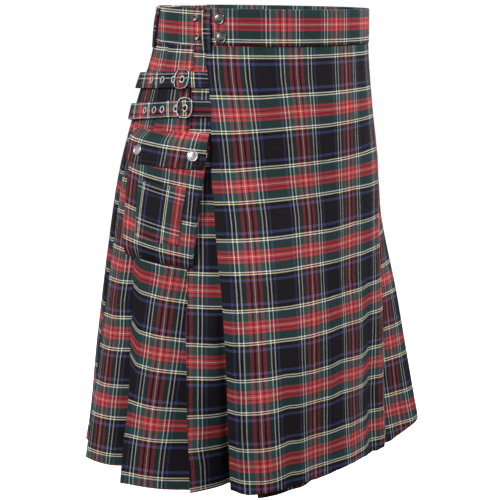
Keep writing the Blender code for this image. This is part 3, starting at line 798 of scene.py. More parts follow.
def finished(name, points, faces, attributes=None):
    """Smooth object from points and faces, with its faces turned outwards."""
    mesh = bpy.data.meshes.new(name)
    mesh.from_pydata(points.tolist(), [], faces)
    if attributes is not None:
        layer = mesh.attributes.new("cloth", "FLOAT_VECTOR", "POINT")
        layer.data.foreach_set("vector", attributes.astype(np.float32).ravel())
    built = bmesh.new()
    built.from_mesh(mesh)
    bmesh.ops.recalc_face_normals(built, faces=built.faces)
    built.to_mesh(mesh)
    built.free()
    mesh.polygons.foreach_set("use_smooth", [True] * len(mesh.polygons))
    return linked(name, mesh)


def unit(vectors):
    return vectors / np.maximum(np.linalg.norm(vectors, axis=-1, keepdims=True), 1e-12)


def shell(name, middle, thick, cloth):
    """Thin closed shell with rounded rims, half of the thickness to each side of a grid of points.

    cloth is the pair of warp and weft coordinates, which the tartan is woven by.
    """
    rows, columns = middle.shape[:2]
    down = unit(np.gradient(middle, axis=0))
    along = unit(np.gradient(middle, axis=1))
    normal = unit(np.cross(along, down))
    half = np.broadcast_to(thick, (rows, columns))[..., None] / 2
    border = [(0, c) for c in range(columns)]
    border += [(r, columns - 1) for r in range(1, rows)]
    border += [(rows - 1, c) for c in range(columns - 2, -1, -1)]
    border += [(r, 0) for r in range(rows - 2, 0, -1)]
    r, c = np.array(border).T
    away = along[r, c] * ((c == columns - 1) * 1.0 - (c == 0))[:, None]
    away = away + down[r, c] * ((r == rows - 1) * 1.0 - (r == 0))[:, None]
    rim = middle[r, c] + unit(away) * half[r, c] * RIM_REACH
    sides = [(middle + normal * half).reshape(-1, 3), (middle - normal * half).reshape(-1, 3)]
    size = rows * columns
    corner = np.arange(size).reshape(rows, columns)
    quads = [corner[:-1, :-1], corner[:-1, 1:], corner[1:, 1:], corner[1:, :-1]]
    quads = np.stack([part.ravel() for part in quads], axis=1)
    edge = r * columns + c
    following = np.roll(edge, -1)
    lip = 2 * size + np.arange(len(edge))
    next_lip = np.roll(lip, -1)
    faces = [
        quads,
        quads[:, ::-1] + size,
        np.stack([following, edge, lip, next_lip], axis=1),
        np.stack([next_lip, lip, edge + size, following + size], axis=1),
    ]
    cloth = np.stack(np.broadcast_arrays(*cloth, np.zeros((rows, columns))), axis=-1)
    attributes = np.concatenate([cloth.reshape(-1, 3), cloth.reshape(-1, 3), cloth[r, c]])
    return finished(name, np.concatenate([*sides, rim]), np.concatenate(faces).tolist(), attributes)


def spaced(start, end, step, edge=CRISP):
    """Even values from start to end, with a narrow first and last space that hold a crisp edge."""
    count = max(int(round(abs(end - start) / step)), 2)
    even = np.linspace(start, end, count + 1)
    tip = math.copysign(edge, end - start)
    return np.concatenate([even[:1], [start + tip], even[1:-1], [end - tip], even[-1:]])


def hem_rows(top, hem, step):
    """Heights from a seam to a hem, close together where the turned-up cloth ends."""
    turn = hem + HEM_TURN
    above, below = spaced(top, turn + HEM_STEP, step), spaced(turn - HEM_STEP, hem, step)
    return np.concatenate([above[:-1], below[1:]])


def hem_thick(height, hem):
    """Thickness of cloth that is turned up at its hem."""
    turn = hem + HEM_TURN
    return CLOTH + (HEM_THICK - CLOTH) * between(height, turn + HEM_STEP, turn - HEM_STEP)


def circle(sides):
    return np.linspace(0, 2 * np.pi, sides, endpoint=False)


def ring_faces(count, sides, closed=False):
    """Faces between rings of points, each ring with the next one."""
    faces = []
    for i in range(count if closed else count - 1):
        low, high = i * sides, (i + 1) % count * sides
        for k in range(sides):
            j = (k + 1) % sides
            faces.append((low + k, low + j, high + j, high + k))
    return faces


def end_faces(count, sides):
    """Faces that close the first and the last ring."""
    return [tuple(range(sides)), tuple(range((count - 1) * sides, count * sides))]


def rings_about(profile, sides, narrow=1.0):
    """Points of rings about z, one for each (radius, z) of a profile."""
    turn = circle(sides)
    points = [(narrow * r * math.cos(a), r * math.sin(a), z) for r, z in profile for a in turn]
    return np.array(points)


def tube(points, radii, closed=False, sides=12):
    """Points and faces of a round wire along points."""
    points = np.asarray(points, float)
    count = len(points)
    radii = np.broadcast_to(radii, count)
    if closed:
        tangent = unit(np.roll(points, -1, axis=0) - np.roll(points, 1, axis=0))
    else:
        tangent = unit(np.gradient(points, axis=0))
    span = np.linalg.svd(points - points.mean(axis=0))[2][2]
    across = unit(np.cross(span, tangent))
    upward = np.cross(tangent, across)
    turn = circle(sides)[:, None]
    rings = across[:, None] * np.cos(turn) + upward[:, None] * np.sin(turn)
    rings = points[:, None] + radii[:, None, None] * rings
    ends = [] if closed else end_faces(count, sides)
    return rings.reshape(-1, 3), ring_faces(count, sides, closed) + ends


def turned(profile, sides=40):
    """Points and faces of a cap turned about z from (radius, z) points, the last on the axis."""
    points = [rings_about(profile[:-1], sides), [(0.0, 0.0, profile[-1][1])]]
    last, tip = (len(profile) - 2) * sides, (len(profile) - 1) * sides
    faces = ring_faces(len(profile) - 1, sides)
    faces += [(last + k, last + (k + 1) % sides, tip) for k in range(sides)]
    return np.concatenate(points), [*faces, tuple(range(sides))]


def joined(parts):
    """One set of points and faces from several."""
    points, faces, start = [], [], 0
    for part_points, part_faces in parts:
        points.append(part_points)
        faces += [tuple(start + i for i in face) for face in part_faces]
        start += len(part_points)
    return np.concatenate(points), faces


def seat(height, arc, out):
    """Axes and origin of a place: along the arc, down the cloth and outwards, as columns."""
    step = 2 * PROBE
    along = unit(place(height, arc + step, out) - place(height, arc - step, out))
    up = unit(place(height + step, arc, out) - place(height - step, arc, out))
    outwards = unit(np.cross(up, along))
    down = np.cross(outwards, along)
    return np.stack([along, down, outwards], axis=-1), place(height, arc, out)


def seated(part, at):
    """Points and faces of a part, moved from its own axes to a seat."""
    axes, origin = at
    points, faces = part
    return points @ axes.T + origin, faces


# One stitch: a short thread that dips into the cloth at both ends
STITCH_RINGS = table(
    "along width lift", (-0.5, 0.35, -0.7), (-0.3, 1.0, 0.0), (0.3, 1.0, 0.0), (0.5, 0.35, -0.7)
)
STITCH_SIDES = 5


def stitches(name, seams, pitch):
    """One object of all the stitches along seams, each a (points, outward normals) pair."""
    template = []
    for ring in STITCH_RINGS:
        for a in circle(STITCH_SIDES) + math.pi / STITCH_SIDES:
            z = (math.sin(a) * ring.width + ring.lift) / 2 * STITCH_WIDTH + STITCH_RISE / 2
            y = math.cos(a) * ring.width * STITCH_WIDTH / 2
            template.append((ring.along * STITCH_LENGTH, y, z))
    faces = ring_faces(len(STITCH_RINGS), STITCH_SIDES) + end_faces(len(STITCH_RINGS), STITCH_SIDES)
    parts = []
    for points, normals in seams:
        run = run_along(points)
        count = int(run[-1] / pitch)
        if count < 1:
            continue
        at = (np.arange(count) + 0.5) * run[-1] / count
        scale = min(run[-1] / count / pitch, 1.0)

        def found(values, at=at, run=run):
            return np.stack([np.interp(at, run, column) for column in values.T], axis=1)

        along = unit(found(points, at + PROBE) - found(points, at - PROBE))
        across = unit(np.cross(unit(found(normals)), along))
        axes = np.stack([along * scale, across, np.cross(along, across)], axis=1)
        made = found(points)[:, None] + np.einsum("vi,nij->nvj", np.array(template), axes)
        starts = np.arange(count) * len(template)
        moved = [tuple(start + i for i in face) for start in starts for face in faces]
        parts.append((made.reshape(-1, 3), moved))
    return finished(name, *joined(parts))


def seam(height, arc, out):
    """Seam through places, as stitches() takes it."""
    on = place(height, arc, out)
    return on, unit(place(height, arc, out + PROBE) - on)


# --- How the tartan lies ---
def piece_lay(piece, height, arc):
    """Warp and weft coordinates on a small piece, 0 on a white line."""
    lay = PIECE_LAYS[piece]
    warp = (arc - lay.warp_line - lay.warp_lean * (lay.height - height)) / lay.warp_scale
    weft = height - lay.weft_line - lay.weft_lean * (arc - lay.arc)
    return (weft, warp) if lay.turned else (warp, weft)


def across_rows(rows, arcs, height, arc):
    """Value of a table with a row for each height and a column for each arc."""
    rows = sorted(rows, key=lambda row: row.height)
    heights = np.array([row.height for row in rows])
    values = np.array([np.interp(arc, arcs, row[1:]) for row in rows])
    at = np.clip(np.searchsorted(heights, height) - 1, 0, len(rows) - 2)
    share = clipped((height - heights[at]) / (heights[at + 1] - heights[at]))
    low = np.take_along_axis(values, at[None], axis=0)[0]
    high = np.take_along_axis(values, at[None] + 1, axis=0)[0]
    return mix(low, high, share)


def apron_lay(height, arc):
    """Warp coordinate on the outer apron, and the rise of its weft lines."""
    height, arc = np.broadcast_arrays(height, arc)
    lines = sorted(APRON_WARP)
    weights = np.eye(len(APRON_WARP_HEIGHTS))[::-1]
    warp = 0.0
    for i in range(len(APRON_WARP_HEIGHTS)):
        found = np.interp(arc, [row[i + 1] for row in lines], [row.warp for row in lines])
        warp = warp + found * np.interp(height, sorted(APRON_WARP_HEIGHTS), weights[:, i])
    return warp, across_rows(APRON_WEFT, APRON_WEFT_ARCS, height, arc)


def rows_of(rows, key, column):
    """Heights and values of a column, of the rows that begin with a key."""
    return [(row.height, getattr(row, column)) for row in rows if row[0] == key]


# --- Pleats and aprons ---
# Columns of each of the first panels and of each other one; then spacing of rows and columns
PANEL_COLUMNS = 24
FAR_PANEL_COLUMNS = 13
CLOSE_PANELS = 4
PLEAT_ROW = 0.0062
APRON_ROW = 0.0036
APRON_COLUMN = 0.0028
UNDER_COLUMN = 0.0045
BAND_ROW = 0.0035
BAND_COLUMN = 0.003
LOOP_ROW = 0.0016
LOOP_COLUMN = 0.0014
STRAP_ROW = 0.0021
STRAP_COLUMN = 0.0022
POCKET_ROW = 0.0031
PATCH_ROW = 0.003
FLAP_ROW = 0.0021
# The turn of a fold, the layer back from it, the inner turn and the hidden layer
FOLD_TURN = np.radians([60, 25, -25, -60])
RETURN_SHARES = np.linspace(0.02, 0.93, 5)
INNER_TURN = np.radians([50, 0, -50])
INNER_REACH = 0.003
HIDDEN_SHARES = np.linspace(0.93, 0.07, 6)
FAR_PANEL_COUNTS = (4, 5, 10, 5, 3, 3, 2, 2, 3, 5)
TOP_IN_BAND = PANEL_TOP + 0.0025


def fold_shift(fold, height):
    """How far a fold line strays along the arc, for the folds that have a table of it."""
    rows = rows_of(FOLD_SHIFTS, fold, "shift")
    return linear(rows, height) if rows else 0.0


def fold_wander(fold, height):
    """How far any fold line strays along the arc."""
    phase = 2 * np.pi * (height / FOLD_WANDER_LENGTH + FOLD_WANDER_STEP * fold)
    phase = phase + FOLD_WANDER_PHASE * fold
    return FOLD_WANDER * np.sin(phase) * between(height, STITCHED_TO, HEM)


def pleat_grid(heights):
    """Arcs, outs, warp, rise of the weft and lift of the pleated cloth, a row for each height."""
    height = heights[:, None]
    zero = 0 * height
    opening = opened(height)
    pitch = pleat_pitch(height)
    tuck = pitch * mix(TUCK_AT_WAIST, TUCK_AT_HEM, opening)
    flick = FOLD_PROUD * opening**2
    lifted = between(height, HEM_LIFTED_FROM, HEM)
    lifts = {row.panel: row for row in HEM_LIFTS}
    last_rise = linear(LAST_RISES, height)
    columns = []

    def add_columns(arcs, outs, warp, rise, lift):
        values = (arcs, outs, warp, rise, lift * lifted)
        columns.append(np.broadcast_arrays(*(value + zero for value in values)))

    def add_tuck(fold, tuck, depth, step, warp, warp_next, rise, rise_next, lift, lift_next):
        """Fold, return layer, inner turn and hidden layer, up to where the next panel starts."""
        drop = step * opening
        radius = PLY / 2
        length = 2 * tuck
        missing = wrapped(warp - length - warp_next, WARP_REPEAT)

        def lay(share):
            used = warp - length * share - missing * share
            return used, mix(rise, rise_next, share), mix(lift, lift_next, share)

        out = depth(fold) - radius + radius * np.sin(FOLD_TURN)
        add_columns(fold - radius + radius * np.cos(FOLD_TURN), out, *lay(0.0))
        arc = fold - radius - (tuck - radius) * RETURN_SHARES
        out = depth(arc) - PLY - RETURN_DROP * drop * RETURN_SHARES
        add_columns(arc, out, *lay(RETURN_SHARES / 2))
        inner = depth(fold - tuck)
        high = inner - PLY - RETURN_DROP * drop
        low = inner - 2 * PLY - HIDDEN_DROP * drop
        half = (high - low) / 2
        reach = np.minimum(half, INNER_REACH)
        arc = fold - tuck - reach * np.cos(INNER_TURN) + reach
        add_columns(arc, (high + low) / 2 + half * np.sin(INNER_TURN), *lay(0.5))
        arc = fold - radius - (tuck - radius) * HIDDEN_SHARES
        sink = mix(HIDDEN_DROP, 1, 1 - HIDDEN_SHARES)
        add_columns(arc, depth(arc) - 2 * PLY - sink * drop, *lay(1 - HIDDEN_SHARES / 2))

    def counted(values):
        """Value at the one height where the warp is counted on from panel to panel."""
        return float(np.interp(-COUNTED_AT, -heights, (values + zero)[:, 0]))

    def lay_of(panel, fold, start, behind):
        """Distance from a panel's fold to its white line; rise, lean and curl of its weft lines."""
        names = ("line_to_line", "rise", "lean", "curl")
        laid = [rows_of(PANEL_LAYS, panel, name) for name in names]
        if laid[0]:
            to_line, *weft = (linear(rows, height) for rows in laid)
            return to_line + fold_shift(panel, height), *weft
        to_line = (behind + 2 * counted(tuck) + counted(fold - start)) % WARP_REPEAT
        drift = between(height, LINES_DRIFT_FROM, HEM)
        to_line = to_line + LINE_DRIFT * np.sin(LINE_DRIFT_PHASE * panel) * drift
        if panel == THIRD_PANEL:
            to_line = to_line - linear(THIRD_LINES, height)
        drift = RISE_DRIFT * np.sin(RISE_DRIFT_PHASE * panel)
        drift = drift * between(height, RISES_DRIFT_FROM, HEM)
        return to_line, linear(FAR_RISE_OF_LINES, height) + drift, zero, zero

    def lines_of(k, behind_fold):
        """Rise of a panel's weft lines at a distance behind its fold."""
        curled = curls[k] * clipped(1 - behind_fold / CURL_REACH) ** CURL_EASE
        return rises[k] + leans[k] * (behind_fold - LEAN_FROM) + curled

    def lift_of(panel, name):
        return getattr(lifts[panel], name) if panel in lifts else 0.0

    first = apron_open_edge(height)
    folds = [
        first + (FIRST_FOLD + k) * pitch + fold_wander(k, height) + fold_shift(k, height)
        for k in range(FOLDS)
    ]
    starts = [under_fold(height), *folds]
    lays, behind = [], LINE_START
    for k in range(FOLDS):
        lays.append(lay_of(k, folds[k], starts[k], behind))
        behind = counted(lays[k][0])
    to_lines, rises, leans, curls = zip(*lays)
    first_warp = folds[0] - starts[0] - to_lines[0]
    add_tuck(
        starts[0], END_TUCK + zero, lambda arc: PLEAT_OUT + 0 * arc, FOLD_STEP_UNDER_APRON,
        first_warp, first_warp, rises[0], lines_of(0, folds[0] - starts[0]),
        0.0, lift_of(0, "at_start"),
    )
    low = PLEAT_OUT - 2 * PLY - FOLD_STEP_UNDER_APRON * opening
    for k in range(FOLDS):
        start, fold = starts[k], folds[k]
        length = fold - start
        reach = mix((length - tuck) / 2, length, opening)

        def depth(arc, start=start, length=length, reach=reach, low=low):
            left = np.maximum(1 - (arc - start) / reach, 0.0)
            share = np.maximum((arc - start) / length, 0.0)
            return mix(PLEAT_OUT, low, left**PANEL_CURVE) + flick * share**FLICK_CURVE

        count = PANEL_COLUMNS if k < CLOSE_PANELS else FAR_PANEL_COLUMNS
        share = np.concatenate([np.linspace(0.0, 0.97, count), [0.99, 1.0]])
        arc = start + (length - PLY / 2) * share
        raised = mix(lift_of(k, "at_start"), lift_of(k, "at_fold"), share)
        add_columns(arc, depth(arc), fold - arc - to_lines[k], lines_of(k, fold - arc), raised)
        if k + 1 < FOLDS:
            next_warp = folds[k + 1] - fold - to_lines[k + 1]
            next_rise = lines_of(k + 1, folds[k + 1] - fold)
        else:
            next_warp, next_rise = WARP_REPEAT + zero, last_rise
        add_tuck(
            fold, tuck, depth, FOLD_STEPS[k], -to_lines[k], next_warp,
            lines_of(k, zero), next_rise, lift_of(k, "at_fold"), lift_of(k + 1, "at_start"),
        )
        low = depth(fold) - 2 * PLY - FOLD_STEPS[k] * opening
    arcs, outs = far_panel(height, folds[-1], low, opening)
    steps = np.hypot(np.diff(arcs), np.diff(outs))
    run = np.concatenate([zero, np.cumsum(steps, axis=1)], axis=1)
    add_columns(arcs, outs, WARP_REPEAT - run, last_rise, linear(FAR_HEM_LIFTS, run))
    return [np.concatenate(parts, axis=1) for parts in zip(*columns)]


def far_panel(height, start, low, opening):
    """Last panel: out from under the last fold, then under the outer apron's far edge and back."""
    edge = girth(height) + APRON_FAR_EDGE
    width = edge - start
    under = PLEAT_OUT - 2 * PLY - FOLD_STEP_FAR * opening
    crest = PLEAT_OUT + FAR_CREST * opening
    rise = width * mix(FAR_RISE, FAR_RISE_AT_HEM, opening)
    end = edge + END_TUCK
    corners = [
        (start, low),
        (start + rise / 2, (low + crest) / 2),
        (start + rise, crest),
        (edge - width * FAR_FALL, PLEAT_OUT - (FOLD_STEP_FAR / 2) * opening),
        (edge, under),
        (edge + END_TUCK / 2, under),
        (end - PLY / 2, under),
        (end, under + PLY / 2),
        (end - PLY / 2, under + PLY),
        (edge + END_TUCK / 2, (under + PLY + PLEAT_OUT) / 2),
        (edge, PLEAT_OUT),
    ]
    arcs, outs = [], []
    for i, count in enumerate(FAR_PANEL_COUNTS):
        share = np.linspace(0.0, 1.0, count, endpoint=i == len(FAR_PANEL_COUNTS) - 1)
        (arc, out), (next_arc, next_out) = corners[i], corners[i + 1]
        arcs.append(mix(arc, next_arc, share))
        outs.append(mix(out, next_out, smooth(share)) + 0 * height)
    return np.concatenate(arcs, axis=1), np.concatenate(outs, axis=1)


def hung(name, height, arc, out, lift, thick, warp, rise):
    """Hanging cloth through places, drawn up by a lift, whose weft lines ride above their level."""
    middle = place(height, arc, out)
    middle[..., 2] += lift
    return shell(name, middle, thick, (warp, height + lift - WEFT_LINE - rise))


def make_pleats():
    heights = hem_rows(TOP_IN_BAND, HEM, PLEAT_ROW)
    height = heights[:, None]
    arcs, outs, warp, rise, lift = pleat_grid(heights)
    return hung("pleats_cloth", height, arcs, outs, lift, hem_thick(height, HEM), warp, rise)


def apron_cut_edge(height):
    """Arc of the outer apron's own edge, with the way it hangs."""
    return apron_open_edge(height) + linear(OPEN_EDGE_SHIFTS, height)


def apron_hem_lift(height, arc):
    """How far the aprons are drawn up, most at the hem."""
    return linear(APRON_HEM_LIFTS, arc) * between(height, HEM_LIFTED_FROM, HEM)


def make_aprons():
    """Outer apron with its faced edges, and the under apron with its turned edge."""
    height = hem_rows(TOP_IN_BAND, APRON_HEM, APRON_ROW)[:, None]
    edge = apron_cut_edge(height)
    width = APRON_OPEN_EDGE + APRON_HEM_FLARE - APRON_FAR_EDGE
    arc = mix(APRON_FAR_EDGE, edge, spaced(0.0, width, APRON_COLUMN) / width)
    from_edge = np.minimum(edge - arc, arc - APRON_FAR_EDGE)
    faced = between(from_edge, FACING + PROBE, FACING - PROBE) * (FACING_THICK - CLOTH)
    thick = np.maximum(hem_thick(height, APRON_HEM), CLOTH + faced)
    lift = apron_hem_lift(height, arc)
    outer = hung(
        "outer_apron_cloth", height, arc, APRON_OUT, lift, thick, *apron_lay(height, arc)
    )

    height = hem_rows(TOP_IN_BAND, UNDER_HEM, PLEAT_ROW)[:, None]
    fold = under_fold(height)
    radius = PLY / 2
    width = APRON_OPEN_EDGE - UNDER_FOLD_BACK - UNDER_FREE_EDGE
    flat = mix(UNDER_FREE_EDGE, fold - radius, spaced(0.0, width, UNDER_COLUMN)[:-1] / width)
    turn = np.radians([90, 60, 25, -25, -60, -90])
    arcs = [flat, fold - radius + radius * np.cos(turn), fold - UNDER_TURN_BACK]
    arcs = np.concatenate(arcs, axis=1)
    outs = [PLEAT_OUT + 0 * flat, PLEAT_OUT - radius + radius * np.sin(turn) + 0 * fold]
    outs = np.concatenate([*outs, PLEAT_OUT - PLY + 0 * fold], axis=1)
    tuck = between(arcs, UNDER_TUCKED_FROM, UNDER_TUCKED_TO) * between(height, HEM_LIFTED_FROM, HEM)
    lift = apron_hem_lift(height, arcs) + UNDER_HEM_TUCK * tuck
    thick = hem_thick(height, UNDER_HEM)
    warp = arcs + UNDER_WARP
    return outer, hung("under_apron_cloth", height, arcs, outs, lift, thick, warp, UNDER_RISE)


# --- Waistband and belt loops ---
def make_band():
    """Waistband, from its open end at the front round to the layer under it."""
    height = spaced(BAND_HEIGHT / 2, -BAND_HEIGHT / 2, BAND_ROW)[:, None]
    last = BAND_UNDER_END - girth(0.0)
    arc = spaced(BAND_OVER_END, last, BAND_COLUMN)[None]
    padded = between(arc, PADDED_FROM, PADDED_FULL)
    padded = padded * (1 - between(arc, last + UNPADDED_FROM, last + UNPADDED_FULL))
    pad = BAND_PAD * padded * between(height, BAND_HEIGHT / 2, BAND_HEIGHT * 0.1)
    crown = BAND_CROWN * np.cos(np.pi * height / BAND_HEIGHT)
    warp_over, weft_over = piece_lay("band_over", height, arc)
    closer = np.minimum(arc - BAND_CLOSER_FROM, 0.0) * (arc > LAYS_CROSS_FROM)
    warp_over = warp_over + BAND_CLOSER * closer
    warp_under, weft_under = piece_lay("band_under", height, arc + girth(height))
    crossed = between(arc, LAYS_CROSS_FROM, LAYS_CROSS_TO)
    warp = warp_over + wrapped(warp_under - warp_over, WARP_REPEAT) * crossed
    middle = place(height, arc, band_out(arc) - pad / 2 + crown)
    cloth = (warp, mix(weft_over, weft_under, crossed))
    return shell("waistband_cloth", middle, BAND_THICK + pad, cloth)


def loop_out(height, arc):
    """Out of the middle of a belt loop at a height."""
    share = clipped((height - LOOP_BOTTOM) / (LOOP_TOP - LOOP_BOTTOM))
    rise = LOOP_RISE * np.maximum(np.sin(np.pi * share), 0.0) ** LOOP_EASE
    return band_out(arc) + BAND_THICK / 2 + SEAM_GAP + LOOP_THICK / 2 + rise


def make_loop(loop):
    height = spaced(LOOP_TOP, LOOP_BOTTOM, LOOP_ROW)[:, None]
    across = spaced(-LOOP_WIDTH / 2, LOOP_WIDTH / 2, LOOP_COLUMN)
    out = loop_out(height, loop.arc) - LOOP_CROWN * (2 * across / LOOP_WIDTH) ** 2
    middle = place(height, loop.arc + across, out)
    return shell(f"{loop.name}_cloth", middle, LOOP_THICK, (height + LOOP_WARP, LOOP_WEFT - across))


# --- Straps, tabs and pocket ---
STRAP_START = STRAP_RUN[0].from_buckle
STRAP_END = STRAP_RUN[-1].from_buckle


def strap_middle(strap, arc):
    """Height of the middle of a strap at an arc."""
    share = clipped((arc - strap.buckle_arc) / STRAP_END)
    return mix(strap.buckle_height, strap.sewn_height, share)


def strap_out(from_buckle):
    """Out of the middle of a strap, at distances behind its buckle."""
    return interpolate(STRAP_RUN, "out", from_buckle)


def make_strap(strap):
    """Hip strap, and the tab that holds its buckle."""
    run = spaced(STRAP_START, STRAP_END, STRAP_COLUMN)
    up = spaced(-STRAP_WIDTH / 2, STRAP_WIDTH / 2, STRAP_ROW)[:, None]
    tip = np.sqrt(clipped(1 - clipped(1 - (run - run[0]) / STRAP_TIP) ** STRAP_TIP_EASE))
    arc = strap.buckle_arc + run
    out = strap_out(run) - STRAP_CROWN * (2 * up / STRAP_WIDTH) ** 2
    height = strap_middle(strap, arc) + up * mix(STRAP_TIP_WIDTH, 1, tip)
    line, way, wefts = STRAP_LAYS[strap.name]
    cloth = (way * up + way * line, linear(wefts, arc))
    name = f"strap_{strap.name}_cloth"
    strap_cloth = shell(name, place(height, arc, out), STRAP_THICK, cloth)
    arc = strap.buckle_arc + spaced(TAB_FROM, TAB_TO, STRAP_ROW)
    middle = place(strap_middle(strap, arc) + up, arc, TAB_OUT)
    cloth = (up + TAB_WARP, arc - TAB_WEFT)
    return strap_cloth, shell(f"tab_{strap.name}_cloth", middle, TAB_THICK, cloth)


def pocket_edges(height):
    """Arcs of the pocket's front and rear edges."""
    share = (POCKET_TOP - height) / (POCKET_TOP - POCKET_BOTTOM)
    front = mix(POCKET_FRONT_TOP, POCKET_FRONT_BOTTOM, share)
    return front, mix(POCKET_REAR_TOP, POCKET_REAR_BOTTOM, share)


def patch_edges(height):
    front, rear = pocket_edges(height)
    return front + PATCH_INSET_FRONT, rear - PATCH_INSET_REAR


def pocket_tilted(height, arc):
    """Height of a place on the pocket, which hangs a little aslant."""
    return height + POCKET_TILT * (arc - POCKET_MIDDLE)


def pocket_front_out(height):
    """The pocket's front stands off the cloth and bends in to the bottom seam."""
    near = clipped((height - POCKET_BOTTOM) / POCKET_BEND)
    lowest = POCKET_SEAM_OUT + CLOTH * 3 / 4
    return mix(lowest, POCKET_OUT, np.sin(np.pi / 2 * near) ** POCKET_BEND_EASE)


def pocket_crown(height, arc):
    """Fullness of the pocket's front: none at its edges and under the flap."""
    front, rear = pocket_edges(height)
    share = clipped((arc - front) / (rear - front))
    full = between(height, POCKET_TOP - POCKET_CROWN_BEGINS, POCKET_TOP - POCKET_CROWN_FULL)
    full = full * between(height, POCKET_BOTTOM, POCKET_BOTTOM + POCKET_CROWN_BEGINS)
    return POCKET_CROWN * full * np.sin(np.pi * share) ** POCKET_CROWN_EASE


def make_pocket():
    """The pocket's body with its bellows sides, its patch and its flap."""
    height = spaced(POCKET_TOP, POCKET_BOTTOM, POCKET_ROW)[:, None]
    front, rear = pocket_edges(height)
    face_out = pocket_front_out(height)
    depth = face_out - POCKET_SEAM_OUT
    tucked = GUSSET_TUCK * np.sin(np.pi * GUSSET) * np.minimum(depth / GUSSET_DEEP, 1.0)
    side_outs = POCKET_SEAM_OUT + depth * GUSSET
    share = spaced(0.0, 1.0, 0.03, edge=0.012)
    arc = front + POCKET_CORNER + (rear - front - 2 * POCKET_CORNER) * share
    full = mix(front, rear, share)
    arcs = np.concatenate([front + tucked, arc, (rear - tucked)[:, ::-1]], axis=1)
    outs = [side_outs, face_out + pocket_crown(height, full), side_outs[:, ::-1]]
    middle = place(pocket_tilted(height, arcs), arcs, np.concatenate(outs, axis=1))
    body = shell("pocket_body_cloth", middle, CLOTH, piece_lay("pocket_body", height, arcs))

    height = spaced(PATCH_TOP, PATCH_BOTTOM, PATCH_ROW)[:, None]
    arc = mix(*patch_edges(height), spaced(0.0, 1.0, 0.045, edge=0.012))
    out = POCKET_OUT + CLOTH + SEAM_GAP + pocket_crown(height, arc)
    tilted = pocket_tilted(height, arc)
    cloth = piece_lay("pocket_patch", tilted, arc)
    patch = shell("pocket_patch_cloth", place(tilted, arc, out), CLOTH, cloth)

    height = spaced(FLAP_TOP, FLAP_BOTTOM, FLAP_ROW)[:, None]
    share = spaced(0.0, 1.0, 0.022, edge=0.006)
    drawn, arc, out = flap_place(height, share)
    cloth = piece_lay("pocket_flap", drawn, arc)
    return body, patch, shell("pocket_flap_cloth", place(drawn, arc, out), CLOTH, cloth)


def flap_place(height, share):
    """Height, arc and out of a place at a share of the way across the flap.

    Its lower corners are a little rounded, and its lower edge is drawn up, most at the rear.
    """
    down = (FLAP_TOP - height) / (FLAP_TOP - FLAP_BOTTOM)
    near = clipped((FLAP_BOTTOM + FLAP_CORNER_HEIGHT - height) / FLAP_CORNER_HEIGHT)
    rounded = FLAP_CORNER * near**2
    front = mix(FLAP_FRONT_TOP, FLAP_FRONT_BOTTOM, down) + rounded
    rear = mix(FLAP_REAR_TOP, FLAP_REAR_BOTTOM, down) - rounded
    drawn = mix(FLAP_TOP, height, 1 - mix(FLAP_DRAWN_FRONT, FLAP_DRAWN_REAR, share))
    droop = FLAP_DROOP * np.abs(2 * share - 1) ** FLAP_DROOP_EASE
    droop = droop * between(height, FLAP_TOP, FLAP_TOP - FLAP_DROOP_FULL)
    return drawn, mix(front, rear, share), interpolate(FLAP_SHAPE, "out", height) - droop


# --- Hardware ---
def make_buckle(strap):
    """Rounded frame with its bar, and the prong that hangs on it."""
    at = seat(strap.buckle_height, strap.buckle_arc, float(strap_out(0.0)))
    angle = circle(64)
    x, y = np.cos(angle), np.sin(angle)
    half = (np.abs(x) ** BUCKLE_ROUND + np.abs(y) ** BUCKLE_ROUND) ** (-1 / BUCKLE_ROUND)
    reach, top = BUCKLE_WIDTH / 2 - BUCKLE_WIRE, BUCKLE_HEIGHT / 2 - BUCKLE_WIRE
    round_frame = np.stack([half * x * reach, half * y * top, FRAME_LIFT + 0 * x], axis=1)
    low = top - BAR_SPLAY
    bar = [(top, FRAME_LIFT), (low, BAR_LIFT), (0.0, BAR_LIFT)]
    bar += [(-low, BAR_LIFT), (-top, FRAME_LIFT)]
    bar = tube([(BAR_SHIFT, y, z) for y, z in bar], BAR_WIRE)
    wires = joined([tube(round_frame, BUCKLE_WIRE, closed=True), bar])
    buckle = finished(f"buckle_{strap.name}_wire", *seated(wires, at))
    run = np.linspace(0.0, 1.0, 12)
    from_buckle = PRONG[-1].from_buckle * run
    # A hair's curve aside, so that the wire's points don't lie in one plane with two spans
    aside = 1e-6 * np.arange(len(run)) ** 2
    points = np.stack([from_buckle, aside, interpolate(PRONG, "lift", from_buckle)], axis=1)
    prong = tube(points, PRONG_WIRE * (1 - PRONG_TAPER * run**2))
    return buckle, finished(f"prong_{strap.name}_wire", *seated(prong, at))


def make_eyelet(name, strap, from_buckle):
    """Oval ring round a near-black disc that paints the shade in its hole, and how many of its
    faces are the ring's.
    """
    middle, half = (EYELET_INNER + EYELET_OUTER) / 2, (EYELET_OUTER - EYELET_INNER) / 2
    profile = [
        (middle + half * math.cos(a), SEAM_GAP / 2 + EYELET_HEIGHT * max(math.sin(a), -0.1))
        for a in np.radians([-20, 0, 30, 60, 90, 120, 150, 180, 200])
    ]
    sides = EYELET_SIDES
    faces = ring_faces(len(profile), sides, closed=True)
    ring = (rings_about(profile, sides, EYELET_NARROW), faces)
    # Painted shade: a near-black disc sunk a little into the hole, where the opening would look
    # dark
    rim = EYELET_INNER * HOLE_RIM
    rims = [(rim, SEAM_GAP / 4), (rim, SEAM_GAP / 4 - HOLE_DEPTH)]
    hole_shade = (rings_about(rims, sides, EYELET_NARROW), end_faces(2, sides) + ring_faces(2, sides))
    arc = strap.buckle_arc + from_buckle
    face = float(strap_out(from_buckle)) + STRAP_THICK / 2
    at = seat(float(strap_middle(strap, arc)), arc, face)
    return finished(f"{name}_ring", *seated(joined([ring, hole_shade]), at)), len(faces)


